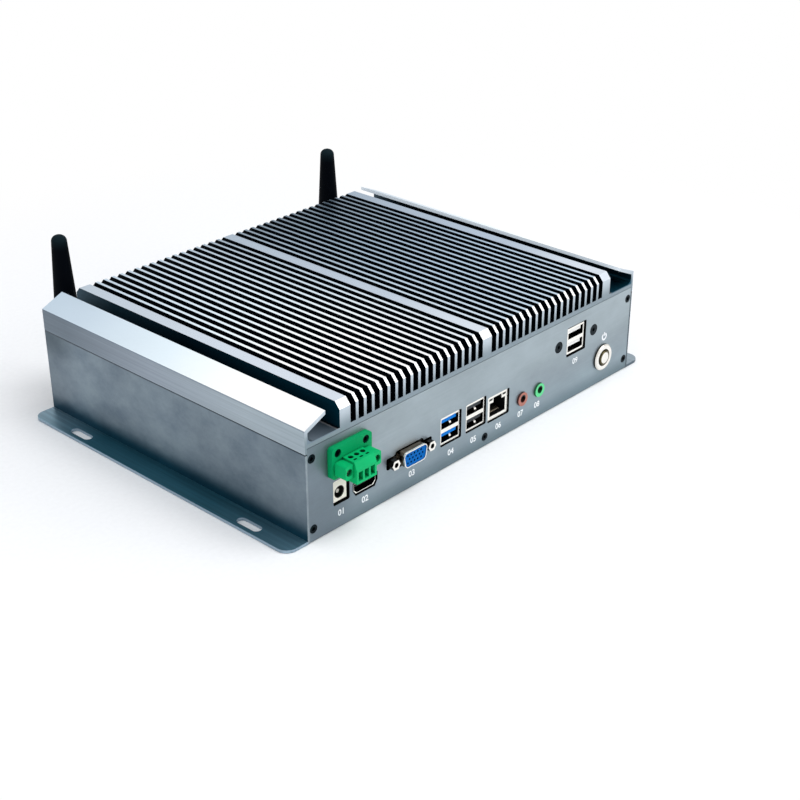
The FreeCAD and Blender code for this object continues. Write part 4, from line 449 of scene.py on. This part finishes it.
def case_metal():
    """Satin sheet with cloudy patches and painted light and shade: deep teal painted shade at its foot,
    and deep teal ears, brushed lengthwise, with painted light and shade along them.
    """
    net = Nodes("case_metal")
    x, y, z = net.axes(net.place)
    facing_rear, facing_up = net.axes(net.normal, "YZ")
    forward = along(net, y)
    on_right = net.step(x, *RIGHT_HALF)
    # Painted shade: deep teal towards the foot, darker at the upper rear and front corners and towards the
    # rear end.
    wall = net.mixed(net.step(z, *WALL_FOOT), (0.003, 0.052, 0.088), (0.186, 0.238, 0.281))
    upper = net.step(z, *WALL_UPPER)
    rear_corner = net.times(upper, net.step(forward, 0.16, 0.03))
    front_corner = net.times(upper, net.step(forward, 0.84, 0.98), 0.5)
    wall = net.tinted(net.math("MAXIMUM", rear_corner, front_corner), wall, (0.50, 0.55, 0.57))
    wall = net.tinted(net.step(forward, 0.16, 0.02), wall, (0.84, 0.84, 0.85))
    # Painted light and shade on the faces towards the front, lighter on the left and darker on the right;
    # a painted shadow line at the top of the wall.
    front_edge = net.mixed(on_right, (0.27, 0.32, 0.36), (0.10, 0.13, 0.15))
    wall = net.mixed(net.step(facing_rear, -0.6, -0.85), wall, front_edge)
    top_line = net.mixed(forward, (0.085, 0.105, 0.125), (0.015, 0.022, 0.030))
    wall = net.mixed(net.step(z, *WALL_TOP_LINE), wall, top_line)
    # Painted light and shade on the ears: changing along the case, lighter on the right, with painted
    # highlights on their edges.
    ear = net.ramp(forward, [
        (0.00, (0.17, 0.27, 0.34)), (0.07, (0.14, 0.25, 0.32)), (0.24, (0.021, 0.124, 0.178)),
        (0.70, (0.030, 0.138, 0.192)), (1.00, (0.105, 0.222, 0.290))])
    ear = net.mixed(on_right, ear, (0.27, 0.34, 0.39))
    ear_edge = net.mixed(on_right, (0.30, 0.40, 0.48), (0.10, 0.14, 0.17))
    ear = net.mixed(net.step(net.math("ABSOLUTE", facing_up), 0.7, 0.4), ear, ear_edge)
    on_ear = net.step(net.math("ABSOLUTE", x), *EAR_START)
    cloud = net.noise(net.stretched((60.0, 44.0, 66.0)), 1.0, 8.0, 0.68)
    slow = net.noise(net.place, 11.0, 2.0)
    streak = net.noise(net.stretched((900.0, 12.0, 900.0)), 1.0, 4.0, 0.6)
    clouds = net.ramp(cloud, [
        (0.35, (0.74, 0.78, 0.82)), (0.50, (1.00, 1.00, 1.00)), (0.65, (1.24, 1.22, 1.18))])
    patch = net.product(clouds, net.grey_ramp(slow, [(0.3, 0.86), (0.65, 1.08)]))
    wall = net.product(wall, patch)
    ear = net.product(ear, net.grey_ramp(streak, [(0.25, 0.72), (0.75, 1.25)]))
    net.feed("Base Color", net.mixed(on_ear, wall, ear))
    net.feed("Roughness", net.grey_ramp(cloud, [(0.2, 0.36), (0.8, 0.46)]))
    net.shader.inputs["Metallic"].default_value = 0.8
    net.bump(streak, 0.04)
    return net.material


PANEL_HEIGHT = 48.0 * MM
LEFT_SHADE = (-110.5 * MM, -74.5 * MM)
RIGHT_GLOW = (55.0 * MM, 105.0 * MM)
PANEL_INSET = (118.5 * MM, 118.0 * MM)
CUT_LOW = 3.6 * MM
CUT_HIGH = 46.6 * MM
CUT_BLEND = 0.4 * MM


def panel_metal():
    """Horizontally brushed panel, darker to the left and below as painted shade, with black walls in its
    cut-outs as painted shadow.
    """
    net = Nodes("panel_metal")
    x, z = net.axes(net.place, "XZ")
    facing = net.math("ABSOLUTE", net.axes(net.normal, "Y")[0])
    streak = net.noise(net.stretched((24.0, 3400.0, 3000.0)), 1.0, 3.0, 0.6)
    cloud = net.noise(net.stretched((26.0, 26.0, 44.0)), 1.0, 5.0, 0.62)
    height = net.math("MULTIPLY", z, 1 / PANEL_HEIGHT)
    # Painted light and shade: lighter higher up, darker to the left, and a little lighter to the right.
    middle_shade = net.ramp(height, [
        (0.04, (0.160, 0.220, 0.250)), (0.19, (0.270, 0.335, 0.375)), (0.42, (0.285, 0.340, 0.375)),
        (0.70, (0.345, 0.406, 0.438)), (0.96, (0.342, 0.402, 0.434))])
    shade = net.mixed(net.step(x, *LEFT_SHADE), (0.175, 0.218, 0.255), middle_shade)
    shade = net.tinted(net.step(x, *RIGHT_GLOW), shade, (1.03, 1.03, 1.03))
    shade = net.product(shade, net.grey_ramp(cloud, [(0.3, 0.88), (0.7, 1.10)]))
    shade = net.product(shade, net.grey_ramp(streak, [(0.25, 0.94), (0.75, 1.05)]))
    # Painted shadow: the walls of the cut-outs are black.
    across = net.step(net.math("ABSOLUTE", x), *PANEL_INSET)
    inside = net.times(across, net.between(z, CUT_LOW, CUT_HIGH, CUT_BLEND))
    cut_wall = net.times(inside, net.step(facing, 0.75, 0.5))
    net.feed("Base Color", net.mixed(cut_wall, shade, (0.003, 0.003, 0.004)))
    satin = net.grey_ramp(streak, [(0.2, 0.36), (0.8, 0.46)])
    net.feed("Roughness", net.mixed(cut_wall, satin, DULL))
    net.shader.inputs["Metallic"].default_value = 0.8
    net.bump(streak, 0.05)
    return net.material


ROD_TIP = (78.0 * MM, 86.0 * MM)


def rod_rubber():
    """Antenna moulding, almost black, with a dull painted sheen at its tip."""
    net = Nodes("rod_rubber")
    z = net.axes(net.place, "Z")[0]
    fine = net.noise(net.place, 1400.0, 2.0)
    # Painted sheen: the tip is a little lighter.
    shade = net.mixed(net.step(z, *ROD_TIP), (0.0012, 0.0020, 0.0035), (0.006, 0.014, 0.018))
    net.feed("Base Color", shade)
    net.feed("Roughness", net.grey_ramp(fine, [(0.3, 0.50), (0.7, 0.62)]))
    net.shader.inputs["Specular IOR Level"].default_value = 0.02
    net.bump(fine, 0.10)
    return net.material


ALONG_X = (12.0, 2500.0, 1600.0)
ALONG_Y = (2200.0, 10.0, 2200.0)
CREAM = (0.98, 0.95, 0.88)
JACK_HOLE = 2.0 * MM
RING_INSIDE = 3.15 * MM
RING_OUTSIDE = 4.75 * MM
HDMI_RIM = 0.45 * MM
MATERIALS = {
    "aluminium_fins": fin_metal(),
    "aluminium_case": case_metal(),
    "brushed_panel": panel_metal(),
    "black_screw": polished("black_oxide", (0.004, 0.010, 0.014), 0.42),
    "green_plastic": moulded("green_moulding", (0.000, 0.330, 0.112), 0.55, spread=0.10, shine=0.08,
                             hole=(0.0, 0.008, 0.004), reach=2.8 * MM),
    "steel_screw": polished("plated_steel", (0.42, 0.42, 0.40), 0.28),
    "cream_plastic": moulded("cream_moulding", (0.92, 0.87, 0.76), 0.45),
    "pin_metal": polished("pin_plating", (0.45, 0.43, 0.38), 0.2),
    # The end_lit parts get a painted highlight where they face out, painted shade on their sides and
    # painted shadow inside the case.
    "nickel_shell": end_lit("nickel_sheet", CREAM, (0.030, 0.028, 0.026), CASE_HALF - 2.2 * MM),
    "nickel_screw": end_lit("nickel_plating", CREAM, (0.016, 0.015, 0.013), CASE_HALF + 2.5 * MM),
    "black_plastic": moulded("black_moulding", (0.006, 0.006, 0.007), 0.42, shine=0.25),
    "blue_plastic": moulded("blue_moulding", (0.000, 0.125, 0.46), 0.55, shine=0.06,
                            hole=(0.0, 0.003, 0.020), reach=2.6 * MM),
    "white_plastic": moulded("white_moulding", (0.98, 0.96, 0.92), 0.4),
    "light_window": moulded("window_moulding", (0.008, 0.008, 0.007), 0.35, shine=0.3),
    # The rings paint shadow into the jacks' holes.
    "pink_plastic": end_lit("pink_moulding", (0.46, 0.150, 0.105), (0.05, 0.015, 0.012), CASE_HALF,
                            rough=0.4, metal=0.0, spread=0.12, inner=(0.02, 0.006, 0.005),
                            ring=(middle("mic_jack"), 0.0, JACK_HOLE, (0.006, 0.003, 0.003))),
    "lime_plastic": end_lit("lime_moulding", (0.10, 0.72, 0.27), (0.010, 0.10, 0.035), CASE_HALF,
                            rough=0.4, metal=0.0, spread=0.12, inner=(0.002, 0.03, 0.01),
                            ring=(middle("line_jack"), 0.0, JACK_HOLE, (0.001, 0.010, 0.004))),
    "gold": polished("gold_plating", (0.90, 0.58, 0.16), 0.2),
    "serial_pin_metal": polished("pin_gold", (0.85, 0.62, 0.30), 0.25),
    "black_rubber": rod_rubber(),
    "button_metal": end_lit("button_steel", (0.93, 0.90, 0.84), (0.05, 0.048, 0.04),
                            CASE_HALF - 3.0 * MM, rough=0.2,
                            ring=(middle("power_button_cap"), RING_INSIDE, RING_OUTSIDE,
                                  (0.100, 0.086, 0.044))),
    "circuit_board": moulded("board_lacquer", (0.02, 0.16, 0.06), 0.35, coat=0.3),
    "heat_metal": brushed("heat_metal", (0.70, 0.70, 0.70), 0.35, ALONG_X),
    "grey_pad": moulded("pad_rubber", (0.40, 0.40, 0.43), 0.7),
    "drive_case": brushed("drive_metal", (0.50, 0.51, 0.53), 0.4, ALONG_X),
    "bracket_steel": brushed("zinc_sheet", (0.58, 0.58, 0.58), 0.38, ALONG_Y),
    "lead_jacket": moulded("lead_jacket", (0.04, 0.04, 0.04), 0.5),
}
plug_green = moulded("plug_moulding", (0.000, 0.45, 0.145), 0.5, spread=0.12, shine=0.12,
                     hole=(0.0, 0.006, 0.003), reach=3.0 * MM)
bright_blue = moulded("usb3_moulding", (0.002, 0.21, 0.74), 0.5, shine=0.1)
dark_socket = moulded("socket_moulding", (0.004, 0.004, 0.005), 0.5, shine=0.15)
# Painted light and shade on these parts too: painted highlights on the serial shells and jackscrews and on
# the vga shell's rim, and painted shadow on the hdmi shell's border and inside the dc jack.
serial_nickel = end_lit("serial_sheet", (0.75, 0.72, 0.66), (0.21, 0.195, 0.18), CASE_HALF + 3 * MM)
serial_hex = end_lit("serial_hex", CREAM, (0.36, 0.34, 0.31), CASE_HALF + 2.5 * MM)
hdmi_sheet = end_lit("hdmi_sheet", CREAM, (0.03, 0.028, 0.026), CASE_HALF - 2.2 * MM,
                     trim=(low("hdmi_shell"), high("hdmi_shell"), HDMI_RIM))
dc_moulding = end_lit("dc_moulding", (0.93, 0.88, 0.77), (0.30, 0.28, 0.24), -low("dc_jack").y - 0.6 * MM,
                      rough=0.45, metal=0.0, spread=0.05, inner=(0.008, 0.007, 0.006))
vga_sheet = end_lit("vga_sheet", CREAM, (0.16, 0.125, 0.090), CASE_HALF - 2.2 * MM,
                    lip=CASE_HALF + 3.3 * MM)
usb2_black = moulded("usb2_moulding", (0.030, 0.036, 0.042), 0.42, shine=0.3)
OWN_FINISH = {
    "usb2_tongues": usb2_black,
    "dc_jack": dc_moulding,
    "vga_shell": vga_sheet,
    "terminal_plug": plug_green,
    "usb3_tongues": bright_blue,
    "lan_insert": dark_socket,
    "serial_shells": serial_nickel,
    "serial_jackscrews": serial_hex,
    "hdmi_shell": hdmi_sheet,
}

SLOT_OF = {part["node"]: part["material_slot"] for part in frame["record"]["subparts"]}
for node, thing in PARTS.items():
    thing.data.materials.clear()
    thing.data.materials.append(OWN_FINISH.get(node) or MATERIALS[SLOT_OF[node]])


# Printed marks and small pieces


BODY_OF = {node: body for body, nodes in frame["record"]["behaviour"]["bodies"].items() for node in nodes}


def in_scene(name, mesh, material):
    """A new object of one material."""
    thing = bpy.data.objects.new(name, mesh)
    bpy.context.scene.collection.objects.link(thing)
    mesh.materials.clear()
    mesh.materials.append(material)
    return thing


def add_piece(name, mesh, node, material):
    """A new piece of the given material that moves with a node's body."""
    thing = in_scene(name, mesh, material)
    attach(thing, BODY_OF[node])


def add_mark(name, mesh):
    """A new white mark on the case."""
    thing = in_scene(name, mesh, print_white)
    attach(thing, "chassis")


def mesh_of(name, shape):
    """Turns a finished bmesh into a mesh."""
    mesh = bpy.data.meshes.new(name)
    shape.to_mesh(mesh)
    shape.free()
    return mesh


def islands(node):
    """The (lowest, highest) corners of the separate pieces in a node, from left to right."""
    shape = bmesh.new()
    shape.from_mesh(PARTS[node].data)
    bmesh.ops.remove_doubles(shape, verts=shape.verts, dist=1e-6)
    left, boxes = set(shape.verts), []
    while left:
        reached = [left.pop()]
        points = []
        while reached:
            vertex = reached.pop()
            points.append(vertex.co.copy())
            for edge in vertex.link_edges:
                other = edge.other_vert(vertex)
                if other in left:
                    left.remove(other)
                    reached.append(other)
        boxes.append(tuple(
            Vector(pick(point[axis] for point in points) for axis in range(3)) for pick in (min, max)))
    shape.free()
    return sorted(boxes, key=lambda corners: (corners[0].x, corners[0].z))


print_white = moulded("print_white", (0.92, 0.94, 0.97), 0.6, shine=0.1)
NUMERAL_SHARE = 0.7
PRINT_THICK = 0.02 * MM
PRINT_BOLD = 0.09 * MM
PRINT_GAP = 0.03 * MM
FRONT = PANEL_FACE - PRINT_GAP
REAR = REAR_FACE + PRINT_GAP


def printed(name, words, place, height, backwards=False):
    """White numerals of this height on a panel, facing out of it."""
    curve = bpy.data.curves.new(name, "FONT")
    curve.body = words
    curve.size = height / NUMERAL_SHARE
    curve.align_x = "CENTER"
    curve.align_y = "CENTER"
    curve.extrude = PRINT_THICK
    curve.offset = PRINT_BOLD
    curve.resolution_u = 4
    source = bpy.data.objects.new(name + "_curve", curve)
    bpy.context.scene.collection.objects.link(source)
    bpy.context.view_layer.update()
    mesh = bpy.data.meshes.new_from_object(source)
    bpy.data.objects.remove(source)
    turn = Matrix.Rotation(math.pi if backwards else 0.0, 4, "Z") @ Matrix.Rotation(math.pi / 2, 4, "X")
    mesh.transform(Matrix.Translation(place) @ turn)
    add_mark(name, mesh)


LABEL_HEIGHT = 3.1 * MM
REAR_LABEL_HEIGHT = 2.6 * MM
LABEL_LINE = 7.5 * MM
# Each label's port and its shift to the right in millimetres
FRONT_LABELS = [
    ("dc_jack", 0.3), ("hdmi_shell", -0.3), ("vga_shell", 1.7), ("usb3_shell", 0.0), ("usb2_shell", -1.8),
    ("lan_shell", 0.2), ("mic_jack", -0.7), ("line_jack", -1.0)]
for count, (node, shift) in enumerate(FRONT_LABELS, start=1):
    spot = Vector((middle(node).x + shift * MM, FRONT, LABEL_LINE))
    printed("front_label_%d" % count, "%02d" % count, spot, LABEL_HEIGHT)
front_stack, rear_stack = sorted(islands("panel_usb_shells"), key=lambda corners: corners[0].y)
STACK_DROP = 5.4 * MM
STACK_SHIFT = -0.3 * MM
front_stack_x = (front_stack[0].x + front_stack[1].x) / 2 + STACK_SHIFT
under_stack = Vector((front_stack_x, FRONT, front_stack[0].z - STACK_DROP))
printed("front_label_9", "09", under_stack, LABEL_HEIGHT)
under_rear = Vector(((rear_stack[0].x + rear_stack[1].x) / 2, REAR, rear_stack[0].z - STACK_DROP))
printed("rear_label_10", "10", under_rear, LABEL_HEIGHT, backwards=True)
PORT_DROP = 8.4 * MM
LOW_PORT_DROP = 9.6 * MM
BETWEEN_PORT_ROWS = 27 * MM
for count, (near, far) in enumerate(reversed(islands("serial_shells")), start=11):
    port_z = (near.z + far.z) / 2
    drop = PORT_DROP if port_z > BETWEEN_PORT_ROWS else LOW_PORT_DROP
    under_port = Vector(((near.x + far.x) / 2, REAR, port_z - drop))
    printed("rear_label_%d" % count, "%02d" % count, under_port, REAR_LABEL_HEIGHT, backwards=True)


MARK_SHIFT = 0.85 * MM
MARK_HEIGHT = 26.7 * MM


def power_mark():
    """A broken ring with a bar in its gap, above the button."""
    centre = Vector((middle("power_button_cap").x + MARK_SHIFT, FRONT, MARK_HEIGHT))
    outer, inner, gap = 2.25 * MM, 1.25 * MM, math.radians(30)
    shape = bmesh.new()
    steps = 28
    rows = []
    for count in range(steps + 1):
        angle = math.pi / 2 + gap + (2 * math.pi - 2 * gap) * count / steps
        spoke = Vector((math.cos(angle), 0, math.sin(angle)))
        rows.append([shape.verts.new(centre + spoke * radius) for radius in (inner, outer)])
    for first, second in zip(rows, rows[1:]):
        shape.faces.new((first[0], first[1], second[1], second[0]))
    bar = [(-0.4, 0.4), (0.4, 0.4), (0.4, 2.6), (-0.4, 2.6)]
    shape.faces.new([shape.verts.new(centre + Vector((x * MM, 0, z * MM))) for x, z in bar])
    add_mark("power_mark", mesh_of("power_mark", shape))


power_mark()


def strip(name, node, material, centre, profile, width, thick=0.15 * MM):
    """A bent leaf of this width along x: profile holds points (inwards, up) in millimetres from centre."""
    inwards = 1 if centre.y < 0 else -1
    shape = bmesh.new()
    rows = []
    for run, rise in profile:
        bend = centre + Vector((0, inwards * run * MM, rise * MM))
        rows.append([
            shape.verts.new(bend + Vector((side * width / 2, 0, lift)))
            for side, lift in ((-1, 0), (1, 0), (1, thick), (-1, thick))])
    for first, second in zip(rows, rows[1:]):
        for count in range(4):
            after = (count + 1) % 4
            shape.faces.new((first[count], first[after], second[after], second[count]))
    shape.faces.new(rows[0])
    shape.faces.new(rows[-1][::-1])
    bmesh.ops.recalc_face_normals(shape, faces=shape.faces)
    add_piece(name, mesh_of(name, shape), node, material)


def shell_dimples():
    """Four pressed bumps on the upper side of each rear D shell."""
    above, behind_rim, spacing = 4.12 * MM, 2.0 * MM, 3.0 * MM
    size = Matrix.Diagonal((0.75 * MM, 0.60 * MM, 0.34 * MM, 1.0))
    shape = bmesh.new()
    for near, far in islands("serial_shells"):
        shell = Vector(((near.x + far.x) / 2, far.y - behind_rim, (near.z + far.z) / 2 + above))
        for count in (-1.5, -0.5, 0.5, 1.5):
            place = Matrix.Translation(shell + Vector((count * spacing, 0, 0)))
            bmesh.ops.create_icosphere(shape, subdivisions=2, radius=1.0, matrix=place @ size)
    for face in shape.faces:
        face.smooth = True
    dimple_metal = polished("dimple_metal", (0.90, 0.88, 0.84), 0.28)
    add_piece("serial_dimples", mesh_of("serial_dimples", shape), "serial_shells", dimple_metal)


shell_dimples()

USB_MOUTH_HALF = 2.6 * MM
SPRING_SHIFT = 2.0 * MM
SPRING_WIDTH = 1.3 * MM
SPRING = [(0.5, 0.2), (0.8, 0.9), (1.4, 1.35), (2.4, 1.3), (4.0, 0.6), (5.0, 0.1)]
spring_metal = polished("spring_metal", (0.95, 0.93, 0.88), 0.45)
for shells, tongues in (("usb3_shell", "usb3_tongues"), ("usb2_shell", "usb2_tongues")):
    for count, (corner, far) in enumerate(islands(tongues), start=1):
        mouth_y = min(corner.y, far.y) if corner.y < 0 else max(corner.y, far.y)
        floor_z = corner.z - USB_MOUTH_HALF
        spot = Vector(((corner.x + far.x) / 2 + SPRING_SHIFT, mouth_y, floor_z))
        strip("%s_spring_%d" % (shells, count), shells, spring_metal, spot, SPRING, SPRING_WIDTH)

CONTACT = [(2.2, 0.0), (2.2, 0.5), (2.6, 0.9), (6.0, 2.0), (9.0, 2.4)]
CONTACT_COUNT = 8
CONTACT_PITCH = 1.02 * MM
CONTACT_WIDTH = 0.42 * MM
CONTACT_DROP = 4.4 * MM
contact_gold = polished("contact_gold", (0.32, 0.28, 0.21), 0.3)
lan_mouth = Vector((middle("lan_shell").x, low("lan_shell").y, middle("lan_shell").z - CONTACT_DROP))
for count in range(CONTACT_COUNT):
    spot = lan_mouth + Vector(((count - (CONTACT_COUNT - 1) / 2) * CONTACT_PITCH, 0, 0))
    strip("lan_contact_%d" % (count + 1), "lan_shell", contact_gold, spot, CONTACT, CONTACT_WIDTH)


# Floor, background and lamps


REACH = 6.0
FLOOR_DROP = 0.2 * MM
PAPER_FADE = (0.17, 0.42)


def floor_paper():
    """Matt paper that fades to plain white away from the object."""
    paper = Nodes("floor_paper")
    grain = paper.noise(paper.place, 400.0, 2.0)
    paper.feed("Base Color", paper.grey_ramp(grain, [(0.3, 0.93), (0.7, 0.96)]))
    paper.shader.inputs["Roughness"].default_value = 0.9
    white_glow = paper.add("ShaderNodeEmission")
    white_glow.inputs["Color"].default_value = (1, 1, 1, 1)
    blend = paper.add("ShaderNodeMixShader")
    from_middle = paper.distance(*paper.axes(paper.place, "XY"))
    paper.link(paper.step(from_middle, *PAPER_FADE), blend.inputs[0])
    paper.link(paper.shader.outputs[0], blend.inputs[1])
    paper.link(white_glow.outputs[0], blend.inputs[2])
    paper.link(blend.outputs[0], paper.tree.nodes["Material Output"].inputs["Surface"])
    return paper.material


floor_mesh = bpy.data.meshes.new("floor")
floor_mesh.from_pydata(
    [(-REACH, -REACH, 0), (REACH, -REACH, 0), (REACH, REACH, 0), (-REACH, REACH, 0)], [], [(0, 1, 2, 3)])
floor = bpy.data.objects.new("floor", floor_mesh)
bpy.context.scene.collection.objects.link(floor)
floor.location.z = -FLOOR_DROP
floor.data.materials.append(floor_paper())


def studio_world():
    """White where the camera and reflections see it, and a dimmer cool light elsewhere."""
    world = bpy.data.worlds.new("studio")
    world.use_nodes = True
    tree = world.node_tree
    tree.nodes.clear()
    seen = tree.nodes.new("ShaderNodeBackground")
    seen.inputs["Color"].default_value = (1, 1, 1, 1)
    seen.inputs["Strength"].default_value = 1.0
    light = tree.nodes.new("ShaderNodeBackground")
    light.inputs["Color"].default_value = (0.92, 0.95, 1.0, 1)
    light.inputs["Strength"].default_value = 0.72
    paths = tree.nodes.new("ShaderNodeLightPath")
    shown = paths.outputs["Is Camera Ray"]
    for ray in ("Is Glossy Ray", "Is Transmission Ray"):
        either = tree.nodes.new("ShaderNodeMath")
        either.operation = "MAXIMUM"
        tree.links.new(shown, either.inputs[0])
        tree.links.new(paths.outputs[ray], either.inputs[1])
        shown = either.outputs[0]
    choice = tree.nodes.new("ShaderNodeMixShader")
    tree.links.new(shown, choice.inputs[0])
    tree.links.new(light.outputs[0], choice.inputs[1])
    tree.links.new(seen.outputs[0], choice.inputs[2])
    output = tree.nodes.new("ShaderNodeOutputWorld")
    tree.links.new(choice.outputs[0], output.inputs["Surface"])
    return world


bpy.context.scene.world = studio_world()
LAMP_AIM = Vector((0, 0, 0.03))


def softbox(name, place, size, power):
    """A flat rectangular lamp that faces the object."""
    data = bpy.data.lights.new(name, "AREA")
    data.shape = "RECTANGLE"
    data.size, data.size_y = size
    data.energy = power
    lamp = bpy.data.objects.new(name, data)
    bpy.context.scene.collection.objects.link(lamp)
    lamp.location = place
    lamp.rotation_euler = (LAMP_AIM - Vector(place)).to_track_quat("-Z", "Y").to_euler()


softbox("key", (0.3, -0.5, 1.3), (0.8, 0.8), 9)
softbox("front_fill", (0.7, -1.2, 0.6), (0.8, 0.6), 3)
softbox("left_fill", (-1.3, -0.3, 0.6), (0.7, 0.6), 2)
